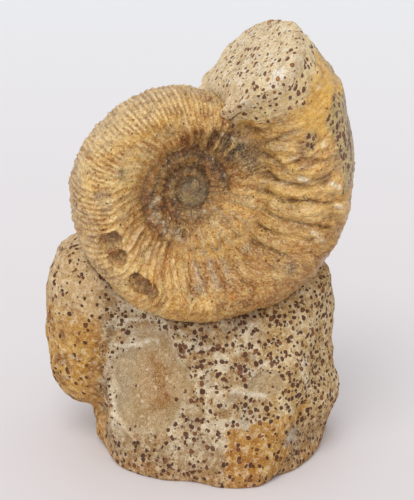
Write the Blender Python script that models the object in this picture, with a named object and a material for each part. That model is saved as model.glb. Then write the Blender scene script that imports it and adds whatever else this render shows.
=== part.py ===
"""A cadicone fossil ammonite standing on its block of iron-oolite limestone.

Run with: blender --background --python part.py

Metres, +Z up, the front of the fossil towards -Y. The origin is at the middle
of the foot of the bounding box, so the block rests on z = 0.
"""

import math

import bmesh
import bpy
import numpy as np
from mathutils import Matrix, Vector, noise

# Driving sizes of the shell. Its radius is measured from the coiling axis.
MOUTH_RADIUS = 0.0584
WHORL_GROWTH = 0.104
RIBS_PER_TURN = 60
FORKS_PER_RIB = 2
INNER_TURNS = 2
SEAM_SHARE = 0.42
SHOULDER_SHARE = 0.755
HALF_WIDTH_SHARE = 0.50
ARCH_POWER = 2.2
WALL_POWER = 1.8
HUB_RISE = 0.0050

# Angles along the spiral, in degrees, counted from the right-hand side.
SHELL_START = 65.0
SHELL_END = SHELL_START + 360.0
DEGREES_PER_RIB = 360.0 / RIBS_PER_TURN

# Relief as a share of the local radius, and where across the whorl (t) each kind comes in and goes out.
RIB_HEIGHT = 0.024
TUBERCLE_HEIGHT = 0.022
FORK_HEIGHT = 0.012
RIBS_COME_IN = (-0.4, 0.4)
RIBS_GO_OUT = (1.0, 1.25)
TUBERCLE_T = 0.95
TUBERCLE_SPREAD = 0.14
FORKS_COME_IN = (1.0, 1.2)
SWING_COMES_IN = (0.0, 0.8)

# The flank next to the broken mouth is worn: its relief fades between these ribs to this share.
WORN_RIBS = (54.0, 57.5)
WORN_SHARE = 0.35

# How far the ribs swing along the spiral, as (angle, swing) in degrees: their dip halfway up the wall of the
# last whorl, and their swing from the seam to the venter.
RIB_DIP = ((65.0, 0.0), (90.0, -4.0), (400.0, -4.0), (425.0, 0.0))
RIB_SWING = ((65.0, 0.0), (130.0, 5.0), (310.0, 6.0), (370.0, -1.0), (425.0, -11.0))

# How much wider the body chamber's spiral opens near its mouth: (angle in degrees, share added).
MOUTH_SWELL = ((350.0, 0.0), (388.0, 0.055), (403.0, 0.060), (417.0, 0.090))

# Where the shell stands, and how it faces.
AXIS_POINT = Vector((-0.0071, 0.0, 0.0944))
YAW = math.radians(14.0)
LEAN = math.radians(4.0)

# Points of the shell's mesh: t runs from 0 at the umbilical seam to 1 at the shoulder and 2 at the venter.
WALL_ROWS = (0.0, 0.5, 0.9)
ARCH_ROWS = (1.32, 1.62, 2.0)
WALL_STEPS = 2
ARCH_STEPS = 4

# The limestone that fills the broken mouth.
FILL_DEPTH = 0.0030
FILL_LAYERS = 2
FILL_CELLS = 4
FILL_INSET = 0.0006
FILL_GAP = 0.0007
FILL_BUMP = 0.0010
FILL_BUMP_SCALE = 110.0

# Broken hollows low on the left flank: (rib, t, depth of the middle, half sizes along, across and in).
PITS = (
    (22.6, 1.10, 0.0002, (0.0026, 0.0026, 0.0026)),
    (23.9, 1.10, 0.0002, (0.0026, 0.0027, 0.0026)),
    (27.4, 1.08, 0.0002, (0.0044, 0.0026, 0.0028)),
)
PIT_BUMP = 0.12
PIT_BUMP_SCALE = 1.7

# The gap between the shell and the seat it has in the block.
SEAT_GAP = 0.0004

# The limestone block: steep facets as (azimuth, reach at the floor, inward lean) about BLOCK_AXIS.
BLOCK_AXIS = Vector((0.005, 0.0, 0.0))
BLOCK_SIDES = (
    (-126.0, 0.0340, 12.0),
    (-105.0, 0.0325, 18.0),
    (-77.0, 0.0335, 18.0),
    (-38.0, 0.0315, 3.0),
    (-12.0, 0.0355, -14.0),
    (-4.0, 0.0420, 5.0),
    (42.0, 0.0400, 6.0),
    (90.0, 0.0315, 4.0),
    (135.0, 0.0390, 6.0),
    (-163.0, 0.0385, 3.0),
)
BLOCK_TOP_POINT = Vector((0.0, -0.020, 0.053))
BLOCK_TOP_SLOPE = math.radians(28.0)
BLOCK_CAP = 0.0670
LOBES = (
    ((-0.0350, 0.0130, 0.0430), (0.0200, 0.0210, 0.0310)),
    ((0.0335, 0.0020, 0.0190), (0.0100, 0.0130, 0.0080)),
)
LOBE_POWER = 2.5
EDGE_ROUNDING = 0.0022
LOBE_BLEND = 0.0020
FOOT_ROUNDING = 0.0010

# The block's broad lumps and hollows, as (height, waves to the metre), and how far above the floor they come in.
BLOCK_LUMPS = ((0.0022, 38.0), (0.0011, 90.0))
LUMPS_COME_IN = (0.0, 0.0050)

# The block's mesh: a grid over a cube's faces, pushed out from its heart to the surface.
BLOCK_HEART = Vector((0.0, 0.006, 0.026))
BLOCK_CELLS = 12
BLOCK_REACH = 0.085
BLOCK_WEIGHTS = Vector((1.25, 0.95, 0.85))
SEARCH_STEPS = 60
BISECTIONS = 20


def smooth_step(x, low, high):
    """0 below low, 1 above high, and a smooth rise between them."""
    t = np.clip((np.asarray(x, float) - low) / (high - low), 0.0, 1.0)
    return t * t * (3.0 - 2.0 * t)


def swung(angle, t):
    """Where a rib that leaves the seam at this spiral angle is at t, in degrees."""
    dip = float(np.interp(angle, *zip(*RIB_DIP)))
    swing = float(np.interp(angle, *zip(*RIB_SWING)))
    return angle + dip * math.sin(math.pi * min(t, 1.0)) + swing * float(smooth_step(t, *SWING_COMES_IN))


def spiral_radius(angle):
    """Distance from the coiling axis to the venter at this spiral angle in degrees."""
    swell = 1.0 + float(np.interp(angle, *zip(*MOUTH_SWELL)))
    return swell * MOUTH_RADIUS * math.exp(WHORL_GROWTH * math.radians(angle - SHELL_END))


def seam_place():
    """Where the next whorl's seam lies on a whorl: its t, and its width as a share of the outer radius."""
    turn = math.exp(WHORL_GROWTH * 2.0 * math.pi)
    out = (SEAM_SHARE * turn - SHOULDER_SHARE) / (1.0 - SHOULDER_SHARE)
    up = math.asin(out ** (ARCH_POWER / 2.0))
    wide = HALF_WIDTH_SHARE * math.cos(up) ** (2.0 / ARCH_POWER)
    return 1.0 + up / (math.pi / 2.0), wide / turn


SEAM_T, SEAM_WIDTH = seam_place()


def section(t):
    """Half of a whorl's outline at t, as (radius, width) shares of the local radius."""
    down = min(max(1.0 - t, 0.0), 1.1)
    up = min(max(t - 1.0, 0.0), 1.0) * (math.pi / 2.0)
    radius = SHOULDER_SHARE - (SHOULDER_SHARE - SEAM_SHARE) * down
    radius += (1.0 - SHOULDER_SHARE) * math.sin(up) ** (2.0 / ARCH_POWER)
    width = HALF_WIDTH_SHARE * max(math.cos(up), 0.0) ** (2.0 / ARCH_POWER)
    width -= (HALF_WIDTH_SHARE - SEAM_WIDTH) * down**WALL_POWER
    return radius, width


def relief(rib, t):
    """Height of ribs, tubercles and forked ribs as a share of the local radius."""
    wave = 0.5 + 0.5 * math.cos(2.0 * math.pi * rib)
    forks = 0.5 + 0.5 * math.cos(2.0 * math.pi * rib * FORKS_PER_RIB)
    on_wall = smooth_step(t, *RIBS_COME_IN) * (1.0 - smooth_step(t, *RIBS_GO_OUT))
    knob = math.exp(-(((t - TUBERCLE_T) / TUBERCLE_SPREAD) ** 2))
    on_arch = smooth_step(t, *FORKS_COME_IN)
    height = RIB_HEIGHT * wave * on_wall + TUBERCLE_HEIGHT * wave**2 * knob + FORK_HEIGHT * forks * on_arch
    return float(height * (1.0 - (1.0 - WORN_SHARE) * smooth_step(rib, *WORN_RIBS)))


def outward(t):
    """Unit normal of the section at t, as (radius, width) parts."""
    step = 0.02
    r1, w1 = section(min(t + step, 2.0))
    r0, w0 = section(t - step)
    if t + step > 2.0:
        return 1.0, 0.0
    size = math.hypot(r1 - r0, w1 - w0)
    return -(w1 - w0) / size, (r1 - r0) / size


def shell_point(rib, t, side, raised=0.0, crest=False):
    """A point of the shell's surface in the fossil's own frame, whose Y is the coiling axis.

    rib counts ribs from the shell's start, side is 1 for the front and -1 for
    the back, and raised is an extra height. With crest, all is as high as a rib.
    """
    angle = swung(SHELL_START + DEGREES_PER_RIB * rib, t)
    scale = spiral_radius(angle)
    radius, width = section(t)
    out, wide = outward(t)
    height = relief(0.0 if crest else rib, t) + raised / scale
    reach = scale * (radius + out * height)
    half = scale * (width + wide * height)
    lifted = math.copysign(math.hypot(half, HUB_RISE), half)
    half += (lifted - half) * (1.0 - float(smooth_step(t, 1.1, 2.0)))
    turn = math.radians(angle)
    return Vector((reach * math.cos(turn), -side * half, reach * math.sin(turn)))


def placed(point):
    """A point of the fossil's own frame, leaned back and turned, at its place on the block."""
    return Matrix.Rotation(YAW, 3, "Z") @ Matrix.Rotation(-LEAN, 3, "X") @ point + AXIS_POINT


def add_face(mesh, corners):
    """One face, left out where two of its corners are the same point."""
    if len(set(corners)) == len(corners):
        mesh.faces.new(corners)


def even_places(row):
    """Places from 0 to 1 along a row of evenly spread points."""
    return [i / (len(row) - 1) for i in range(len(row))]


def zip_rows(mesh, one, two, places_one=None, places_two=None):
    """Triangles between two rows of points, which may differ in number.

    The places run from 0 to 1 along each row and say which points face each other.
    """
    places_one = [*(places_one or even_places(one)), 2.0]
    places_two = [*(places_two or even_places(two)), 2.0]
    i = j = 0
    while i < len(one) - 1 or j < len(two) - 1:
        if places_one[i + 1] <= places_two[j + 1]:
            add_face(mesh, (one[i], one[i + 1], two[j]))
            i += 1
        else:
            add_face(mesh, (one[i], two[j + 1], two[j]))
            j += 1


def mirrored(values, whole):
    """The values, then the same ones backwards as seen from the other end."""
    return [*values, *(whole - v for v in values[-2::-1])]


def make_shell(inner_turns, wall_steps, arch_steps, raised=0.0, crest=False):
    """The closed coiled shell as one mesh, with its outer whorl and inner_turns whorls inside it."""
    mesh = bmesh.new()
    rows = (*WALL_ROWS, SEAM_T)
    per_turn = RIBS_PER_TURN * wall_steps
    first, last = -inner_turns * per_turn, per_turn
    edges = {}
    for side in (1, -1):
        walls = {}
        for k in range(first, last + 1):
            for r, t in enumerate(rows):
                if r == 0 and k - per_turn >= first:
                    walls[k, r] = walls[k - per_turn, len(rows) - 1]
                else:
                    place = placed(shell_point(k / wall_steps, t, side, raised, crest))
                    walls[k, r] = mesh.verts.new(place)
        for k in range(first, last):
            for r in range(len(rows) - 1):
                add_face(mesh, (walls[k, r], walls[k + 1, r], walls[k + 1, r + 1], walls[k, r + 1]))
        hub = [walls[k, 0] for k in range(first, first + per_turn)]
        hub += [walls[first, r] for r in range(len(rows) - 1, 0, -1)]
        middle = mesh.verts.new(sum((v.co for v in hub), Vector()) / len(hub))
        for a, b in zip(hub, hub[1:] + hub[:1]):
            add_face(mesh, (a, b, middle))
        edges[side] = walls
    arch = [(t, 1) for t in ARCH_ROWS] + [(t, -1) for t in ARCH_ROWS[-2::-1]]
    belts = [[edges[1][k, len(rows) - 1] for k in range(per_turn + 1)]]
    for t, side in arch:
        count = RIBS_PER_TURN * arch_steps
        places = [shell_point(k / arch_steps, t, side, raised, crest) for k in range(count + 1)]
        belts.append([mesh.verts.new(placed(p)) for p in places])
    belts.append([edges[-1][k, len(rows) - 1] for k in range(per_turn + 1)])
    for one, two in zip(belts, belts[1:]):
        zip_rows(mesh, one, two)
    lip = [edges[1][last, r] for r in range(len(rows) - 1)] + [belt[-1] for belt in belts]
    lip += [edges[-1][last, r] for r in range(len(rows) - 2, -1, -1)]
    outer_places = mirrored([t / 4.0 for t in (*rows, *ARCH_ROWS)], 1.0)
    inner_places = mirrored([(t - SEAM_T) / (2.0 - SEAM_T) / 2.0 for t in (SEAM_T, *ARCH_ROWS)], 1.0)
    zip_rows(mesh, lip, [belt[0] for belt in belts], outer_places, inner_places)
    bmesh.ops.triangulate(mesh, faces=mesh.faces)
    return mesh


def mouth_point(along, across, rib):
    """A point across the mouth, in the fossil's own frame.

    along is t on the front half and 4 - t on the back half, and across runs
    from 0 at the outside to 1 on the whorl beneath.
    """
    side = 1 if along <= 2.0 else -1
    t_out = min(along, 4.0 - along)
    t_in = SEAM_T + (2.0 - SEAM_T) * t_out / 2.0
    outside = shell_point(rib, t_out, side, -FILL_INSET, False)
    beneath = shell_point(rib - RIBS_PER_TURN, t_in, side, 2.0 * SEAT_GAP, True)
    return outside.lerp(beneath, across)


def fill_point(along, across, forward):
    """A point of the limestone in the mouth, where forward runs from 0 to 1 at the free face."""
    start = mouth_point(along, across, RIBS_PER_TURN)
    ahead = (mouth_point(along, across, RIBS_PER_TURN + 0.2) - start).normalized()
    bump = 0.4 + noise.noise(start * FILL_BUMP_SCALE) if forward == 1.0 else 0.0
    return start + ahead * (FILL_GAP + FILL_DEPTH * forward + FILL_BUMP * bump)


def make_fill():
    """The limestone plug of the mouth: a bent slab on a grid, with a rough free face."""
    mesh = bmesh.new()
    points = {}
    places = mirrored([*WALL_ROWS[1:], SEAM_T, *ARCH_ROWS], 4.0)
    counts = (len(places) - 1, FILL_CELLS, FILL_LAYERS)

    def point(i, j, k):
        """The grid's point, made once."""
        if (i, j, k) not in points:
            place = fill_point(places[i], j / counts[1], k / counts[2])
            points[i, j, k] = mesh.verts.new(placed(place))
        return points[i, j, k]

    for axis in range(3):
        one, two = [a for a in range(3) if a != axis]
        for end in (0, counts[axis]):
            for a in range(counts[one]):
                for b in range(counts[two]):
                    corners = []
                    for da, db in ((0, 0), (1, 0), (1, 1), (0, 1)):
                        index = [0, 0, 0]
                        index[axis], index[one], index[two] = end, a + da, b + db
                        corners.append(point(*index))
                    add_face(mesh, corners)
    bmesh.ops.triangulate(mesh, faces=mesh.faces)
    return mesh


def make_pit(rib, t, depth, half_sizes):
    """A rough pebble shape that is cut out of the front flank."""
    middle = placed(shell_point(rib, t, 1, -depth, False))
    along = (placed(shell_point(rib + 0.5, t, 1)) - placed(shell_point(rib - 0.5, t, 1))).normalized()
    across = placed(shell_point(rib, t + 0.1, 1)) - placed(shell_point(rib, t - 0.1, 1))
    inward = along.cross(across).normalized()
    across = inward.cross(along)
    mesh = bmesh.new()
    bmesh.ops.create_icosphere(mesh, subdivisions=2, radius=1.0)
    for vert in mesh.verts:
        bump = PIT_BUMP * noise.noise(vert.co * PIT_BUMP_SCALE + Vector((rib, 0.0, 0.0)))
        shape = vert.co * (1.0 + bump)
        parts = (along * shape.x * half_sizes[0], across * shape.y * half_sizes[1])
        vert.co = middle + parts[0] + parts[1] + inward * shape.z * half_sizes[2]
    return mesh


def block_depth(points):
    """How far each point is outside the block, negative inside, from its facets and its lobe."""
    depths = []
    for azimuth, reach, lean in BLOCK_SIDES:
        turn, tip = math.radians(azimuth), math.radians(lean)
        flat = (points[:, 0] - BLOCK_AXIS.x) * math.cos(turn) + (points[:, 1] - BLOCK_AXIS.y) * math.sin(turn)
        depths.append((flat - reach) * math.cos(tip) + points[:, 2] * math.sin(tip))
    rise = (points[:, 2] - BLOCK_TOP_POINT.z) * math.cos(BLOCK_TOP_SLOPE)
    depths.append(rise - (points[:, 1] - BLOCK_TOP_POINT.y) * math.sin(BLOCK_TOP_SLOPE))
    depths.append(points[:, 2] - BLOCK_CAP)
    depths.append(-points[:, 2] - FOOT_ROUNDING)
    body = EDGE_ROUNDING * np.log(np.sum(np.exp(np.array(depths) / EDGE_ROUNDING), axis=0))
    joined = np.exp(-body / LOBE_BLEND)
    for centre, radii in LOBES:
        spread = np.abs((points - np.array(centre)) / np.array(radii))
        lobe = (np.sum(spread**LOBE_POWER, axis=1) ** (1.0 / LOBE_POWER) - 1.0) * min(radii)
        joined += np.exp(-lobe / LOBE_BLEND)
    return -LOBE_BLEND * np.log(joined)


def block_surface(directions):
    """Where rays from the block's heart leave it, one point to each direction."""
    heart = np.array(BLOCK_HEART)
    near = np.zeros(len(directions))
    far = np.full(len(directions), BLOCK_REACH)
    found = np.zeros(len(directions), bool)
    for step in range(1, SEARCH_STEPS + 1):
        reach = BLOCK_REACH * step / SEARCH_STEPS
        out = block_depth(heart + directions * reach) > 0.0
        fresh = out & ~found
        far[fresh] = reach
        near[~out & ~found] = reach
        found |= out
    for _ in range(BISECTIONS):
        middle = (near + far) / 2.0
        out = block_depth(heart + directions * middle[:, None]) > 0.0
        far = np.where(out, middle, far)
        near = np.where(out, near, middle)
    return heart + directions * near[:, None]


def roughened(point, direction):
    """A surface point of the block with its broad lumps and hollows, which leave the foot flat."""
    rough = float(smooth_step(point.z, *LUMPS_COME_IN))
    return point + direction * rough * sum(height * noise.noise(point * scale) for height, scale in BLOCK_LUMPS)


def make_block(cells):
    """The limestone block as a closed mesh standing flat on z = 0."""
    mesh = bmesh.new()
    bmesh.ops.create_cube(mesh, size=2.0)
    bmesh.ops.subdivide_edges(mesh, edges=mesh.edges, cuts=cells - 1, use_grid_fill=True)
    weights = np.array(BLOCK_WEIGHTS)
    spread = np.array([v.co for v in mesh.verts]) * (math.pi / 4.0)
    directions = np.tan(np.clip(spread, -math.pi / 4.0, math.pi / 4.0)) * weights
    directions /= np.linalg.norm(directions, axis=1)[:, None]
    for vert, place, direction in zip(mesh.verts, block_surface(directions), directions):
        ahead = Vector(direction)
        point = roughened(Vector(place), ahead)
        if point.z < 0.0:
            point = BLOCK_HEART + (point - BLOCK_HEART) * (BLOCK_HEART.z / (BLOCK_HEART.z - point.z))
        vert.co = point
    bmesh.ops.triangulate(mesh, faces=mesh.faces)
    return mesh


def new_object(name, mesh, colour, roughness):
    """A smooth-shaded object with its own plain material."""
    bmesh.ops.recalc_face_normals(mesh, faces=mesh.faces)
    data = bpy.data.meshes.new(name)
    mesh.to_mesh(data)
    mesh.free()
    data.shade_smooth()
    data.set_sharp_from_angle(angle=math.radians(50.0))
    made = bpy.data.objects.new(name, data)
    bpy.context.scene.collection.objects.link(made)
    finish = bpy.data.materials.new(name)
    finish.use_nodes = True
    shader = finish.node_tree.nodes["Principled BSDF"]
    shader.inputs["Base Color"].default_value = (*colour, 1.0)
    shader.inputs["Roughness"].default_value = roughness
    data.materials.append(finish)
    return made


def centre_over_foot(meshes):
    """How far the meshes go sideways so that the middle of their box is over the origin."""
    places = np.array([v.co for mesh in meshes for v in mesh.verts])
    middle = (places.min(axis=0) + places.max(axis=0)) / 2.0
    return Vector((-middle[0], -middle[1], 0.0))


def cut_away(body, name, mesh):
    """Takes the cutter's shape out of the body."""
    cutter = new_object(name, mesh, (0.5, 0.5, 0.5), 0.5)
    cutter.hide_render = True
    cutter.display_type = "WIRE"
    cut = body.modifiers.new(name, "BOOLEAN")
    cut.operation = "DIFFERENCE"
    cut.solver = "EXACT"
    cut.object = cutter


def main():
    """Clears the scene and makes the three pieces."""
    for old in list(bpy.data.objects):
        bpy.data.objects.remove(old)
    shell_mesh = make_shell(INNER_TURNS, WALL_STEPS, ARCH_STEPS)
    fill_mesh = make_fill()
    block_mesh = make_block(BLOCK_CELLS)
    seat_mesh = make_shell(0, 1, 1, SEAT_GAP, True)
    pit_meshes = [make_pit(*pit) for pit in PITS]
    shift = centre_over_foot((shell_mesh, fill_mesh, block_mesh))
    for mesh in (shell_mesh, fill_mesh, block_mesh, seat_mesh, *pit_meshes):
        bmesh.ops.translate(mesh, verts=mesh.verts, vec=shift)
    shell = new_object("ammonite", shell_mesh, (0.56, 0.34, 0.14), 0.6)
    new_object("mouth_matrix", fill_mesh, (0.64, 0.50, 0.33), 0.8)
    block = new_object("matrix_base", block_mesh, (0.50, 0.40, 0.27), 0.8)
    cut_away(block, "seat_cutter", seat_mesh)
    for number, pit_mesh in enumerate(pit_meshes, 1):
        cut_away(shell, f"pit_cutter_{number}", pit_mesh)


main()
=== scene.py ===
"""Looks of a fossil ammonite that stands on its block of oolitic limestone.

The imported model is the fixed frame. Three fine meshes are made here over the same
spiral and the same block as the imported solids: the coiled shell, the limestone in
its broken mouth, and the block that it stands on. Lengths are metres, +Z is up and
the front of the fossil faces -Y.
"""

import logging
import math
from dataclasses import dataclass, field
from enum import Enum
from typing import Any, Callable

import bmesh
import bpy
import numpy as np
from mathutils import Matrix, Vector, noise
from mathutils.bvhtree import BVHTree


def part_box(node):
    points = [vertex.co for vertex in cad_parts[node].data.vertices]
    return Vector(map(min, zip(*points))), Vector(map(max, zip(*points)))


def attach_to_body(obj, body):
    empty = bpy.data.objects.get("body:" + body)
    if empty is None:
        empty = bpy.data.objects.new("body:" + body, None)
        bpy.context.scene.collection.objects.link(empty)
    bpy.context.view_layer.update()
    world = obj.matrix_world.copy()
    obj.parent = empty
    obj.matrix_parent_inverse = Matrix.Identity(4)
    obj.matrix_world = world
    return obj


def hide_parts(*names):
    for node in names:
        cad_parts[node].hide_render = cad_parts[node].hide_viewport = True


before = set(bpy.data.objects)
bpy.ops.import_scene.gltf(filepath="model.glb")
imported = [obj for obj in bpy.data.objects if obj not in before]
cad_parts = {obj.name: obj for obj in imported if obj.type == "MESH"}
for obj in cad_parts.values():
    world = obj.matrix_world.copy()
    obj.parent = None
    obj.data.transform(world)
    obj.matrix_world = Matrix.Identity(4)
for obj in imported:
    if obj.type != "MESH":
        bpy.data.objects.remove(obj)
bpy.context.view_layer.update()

LOG = logging.getLogger("ammonite")
MM = 0.001

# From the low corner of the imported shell's box to the middle of the coil.
AXIS_FROM_CORNER = Vector((0.03829, 0.02823, 0.04473))
# From the middle of the coil to the point on the floor that the block is laid out from.
BLOCK_FROM_AXIS = Vector((0.0071, 0.0, -0.0944))

# Short names for the types of arrays, pieces, places, colours, drawn lines and tables
Array = np.ndarray
Piece = bpy.types.Object
Pair = tuple[float, float]
Triple = tuple[float, float, float]
Shade = tuple[float, float, float, float]
Path = tuple[Pair, ...]
Table = tuple[Pair, ...]


class Side(Enum):
    """The two flanks of the shell."""

    FRONT = 1.0
    BACK = -1.0


# Arithmetic on arrays of points


def ramp(x: Any, low: Any, high: Any) -> Array:
    """Rises smoothly from 0 at low to 1 at high.

    Args:
        x: A number or an array.
        low: Where the rise starts.
        high: Where it ends.

    Returns:
        The risen values, from 0 to 1.
    """
    t = np.clip((np.asarray(x, float) - low) / (high - low), 0.0, 1.0)
    return t * t * (3.0 - 2.0 * t)


def crests(phase: Array) -> Array:
    """A wave from 0 to 1 that has a crest at every whole number."""
    return 0.5 + 0.5 * np.cos(2.0 * np.pi * phase)


def lattice(cells: Array, seed: int) -> Array:
    """Gives every whole-numbered cell its own fixed value.

    Args:
        cells: Whole-numbered places, (..., 3).
        seed: Which set of values to use.

    Returns:
        Values from 0 to 1, one to each cell.
    """
    mask = 0xFFFFFFFF
    x, y, z = (cells[..., axis].astype(np.int64) for axis in range(3))
    # Large odd factors scatter the bits, so that neighbouring cells are unlike.
    mixed = (x * 73856093 ^ y * 19349663 ^ z * 83492791 ^ seed * 1640531513) & mask
    mixed = ((mixed ^ (mixed >> 15)) * 1274126177) & mask
    mixed = ((mixed ^ (mixed >> 13)) * 1911520717) & mask
    return (mixed ^ (mixed >> 16)) / float(mask)


def waves(points: Array, size: float, seed: int = 0) -> Array:
    """Smooth noise whose lumps are about size wide.

    Args:
        points: Places, (n, 3).
        size: Width of a lump, in the points' unit.
        seed: Which noise to use.

    Returns:
        Values from -1 to 1.
    """
    scaled = points / size
    base = np.floor(scaled)
    part = scaled - base
    ease = part**3 * (part * (part * 6.0 - 15.0) + 10.0)
    total = np.zeros(len(points))
    for corner in np.ndindex(2, 2, 2):
        step = np.array(corner)
        weight = np.prod(np.where(step == 1, ease, 1.0 - ease), axis=1)
        total += weight * lattice(base + step, seed)
    return 2.0 * total - 1.0


def fractal(points: Array, size: float, octaves: int = 3, seed: int = 0) -> Array:
    """Noise with finer noise on it, each layer half the size and height of the one before.

    Args:
        points: Places, (n, 3).
        size: Width of the broadest lumps.
        octaves: How many layers there are.
        seed: Which noise to use.

    Returns:
        Values from about -1 to 1.
    """
    turn = np.array(Matrix.Rotation(0.8, 3, Vector((1.0, 2.0, 3.0))))
    total = np.zeros(len(points))
    height = 1.0
    for octave in range(octaves):
        total += height * waves(points, size, seed + octave)
        points = points @ turn + size
        size /= 2.0
        height /= 2.0
    return total / (2.0 - 2.0 * height)


def cells(points: Array, size: float, seed: int = 0) -> tuple[Array, Array]:
    """Scatters one seed point in every cell and finds the nearest.

    Args:
        points: Places, (n, 3).
        size: Width of a cell.
        seed: Which scatter to use.

    Returns:
        The distance to the nearest seed point in cell widths, and its own value from 0 to 1.
    """
    scaled = points / size
    base = np.floor(scaled)
    best = np.full(len(points), 9.0)
    value = np.zeros(len(points))
    for step in np.ndindex(3, 3, 3):
        cell = base + np.array(step) - 1.0
        place = cell + np.stack([lattice(cell, seed + axis) for axis in range(3)], axis=1)
        distance = np.linalg.norm(place - scaled, axis=1)
        nearer = distance < best
        best = np.where(nearer, distance, best)
        value = np.where(nearer, lattice(cell, seed + 3), value)
    return best, value


def blob(points: Array, centre: Triple, radii: Triple) -> Array:
    """How deep each point is in a soft ellipsoid.

    Args:
        points: Places, (n, 3).
        centre: Middle of the ellipsoid.
        radii: Its three half sizes.

    Returns:
        1 in the middle, 0 on the surface and negative outside.
    """
    return 1.0 - np.linalg.norm((points - np.array(centre)) / np.array(radii), axis=1)


def stroke(x: Array, z: Array, path: list[Pair] | Path, width: float) -> Array:
    """A soft line drawn over the front.

    Args:
        x: Places to the right, in metres.
        z: Places upwards.
        path: The line's corners.
        width: Half of its width.

    Returns:
        1 on the line, falling to 0 beside it.
    """
    nearest = np.full(len(x), 9.0)
    for (x0, z0), (x1, z1) in zip(path, path[1:]):
        dx, dz = x1 - x0, z1 - z0
        share = np.clip(((x - x0) * dx + (z - z0) * dz) / (dx**2 + dz**2), 0.0, 1.0)
        nearest = np.minimum(nearest, np.hypot(x - x0 - share * dx, z - z0 - share * dz))
    return np.exp(-((nearest / width) ** 2))


def polar(*places: Pair) -> list[Pair]:
    """Turns (degrees, millimetres from the coil's middle) into places over the flank, in metres."""
    return [(r * MM * math.cos(math.radians(a)), r * MM * math.sin(math.radians(a))) for a, r in places]


def window(x: Array, low: float, high: float, soft: float) -> Array:
    """1 from low to high, falling to 0 within soft beyond either."""
    return ramp(x, low - soft, low) * (1.0 - ramp(x, high, high + soft))


def screen(red: float, green: float, blue: float) -> Array:
    """A colour as seen on a screen, 0 to 255 a channel, as the linear colour that shaders use."""
    parts = np.array((red, green, blue)) / 255.0
    return np.where(parts <= 0.04045, parts / 12.92, ((parts + 0.055) / 1.055) ** 2.4)


class Paint:
    """Colours of a piece's points, laid one over another."""

    def __init__(self, count: int, ground: Triple) -> None:
        """Starts with one screen colour all over.

        Args:
            count: How many points there are.
            ground: The colour, 0 to 255 a channel.
        """
        self.colours = np.tile(screen(*ground), (count, 1))

    def lay(self, colour: Triple, share: Array | float) -> None:
        """Lays a screen colour on.

        Args:
            colour: The colour, 0 to 255 a channel.
            share: How much it covers at each point, 0 to 1.
        """
        cover = np.clip(np.broadcast_to(share, len(self.colours)), 0.0, 1.0)[:, None]
        self.colours = self.colours + (screen(*colour) - self.colours) * cover

    def keep(self, piece: Piece) -> None:
        """Stores the colours on a piece as its tint.

        Args:
            piece: The piece, with as many points as the paint.
        """
        layers = piece.data.attributes
        layer = layers.get("tint") or layers.new("tint", "FLOAT_COLOR", "POINT")
        whole = np.concatenate([self.colours, np.ones((len(self.colours), 1))], axis=1)
        layer.data.foreach_set("color", whole.astype(np.float32).ravel())


class MeshDraft:
    """Points and triangles that become one mesh."""

    def __init__(self) -> None:
        """Starts an empty draft."""
        self.points: list[Array] = []
        self.count = 0
        self.faces: list[Array] = []

    def add(self, points: Array) -> Array:
        """Adds points.

        Args:
            points: Places, (..., 3).

        Returns:
            Their numbers in the mesh, in the shape of the input.
        """
        flat = points.reshape(-1, 3)
        self.points.append(flat)
        numbers = np.arange(self.count, self.count + len(flat)).reshape(points.shape[:-1])
        self.count += len(flat)
        return numbers

    def grid(self, numbers: Array, flip: bool = False) -> None:
        """Covers a grid of points with two triangles to a cell.

        Args:
            numbers: Point numbers, (rows, columns).
            flip: Turns the faces over.
        """
        a, b = numbers[:-1, :-1].ravel(), numbers[:-1, 1:].ravel()
        c, d = numbers[1:, 1:].ravel(), numbers[1:, :-1].ravel()
        made = np.concatenate([np.stack([a, b, c], axis=1), np.stack([a, c, d], axis=1)])
        self.faces.append(made[:, ::-1] if flip else made)

    def zip(self, one: list[int], two: list[int], flip: bool = False) -> None:
        """Joins two rows of points, which may differ in number, with triangles.

        Args:
            one: The first row's point numbers.
            two: The second row's.
            flip: Turns the faces over.
        """
        made = []
        i = j = 0
        while i < len(one) - 1 or j < len(two) - 1:
            if (i + 1) * (len(two) - 1) <= (j + 1) * (len(one) - 1) and i < len(one) - 1:
                made.append((one[i], one[i + 1], two[j]))
                i += 1
            else:
                made.append((one[i], two[j + 1], two[j]))
                j += 1
        kept = np.array([face for face in made if len(set(face)) == 3])
        self.faces.append(kept[:, ::-1] if flip else kept)

    def to_object(self, name: str) -> Piece:
        """Makes the mesh and its object.

        Args:
            name: Name of the piece.

        Returns:
            The new object, smooth shaded, in the scene.
        """
        points = np.concatenate(self.points)
        faces = np.concatenate(self.faces)
        data = bpy.data.meshes.new(name)
        data.vertices.add(len(points))
        data.vertices.foreach_set("co", points.astype(np.float32).ravel())
        data.loops.add(faces.size)
        data.loops.foreach_set("vertex_index", faces.astype(np.int32).ravel())
        data.polygons.add(len(faces))
        data.polygons.foreach_set("loop_start", np.arange(0, faces.size, 3, dtype=np.int32))
        data.update(calc_edges=True)
        data.validate()
        return link_piece(name, data)


def link_piece(name: str, data: bpy.types.Mesh) -> Piece:
    """Puts a mesh into the scene, smooth shaded and with its faces outwards.

    Args:
        name: Name of the piece.
        data: Its mesh.

    Returns:
        The new object.
    """
    mesh = bmesh.new()
    mesh.from_mesh(data)
    bmesh.ops.recalc_face_normals(mesh, faces=mesh.faces)
    mesh.to_mesh(data)
    mesh.free()
    data.shade_smooth()
    made = bpy.data.objects.new(name, data)
    bpy.context.scene.collection.objects.link(made)
    return made


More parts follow.
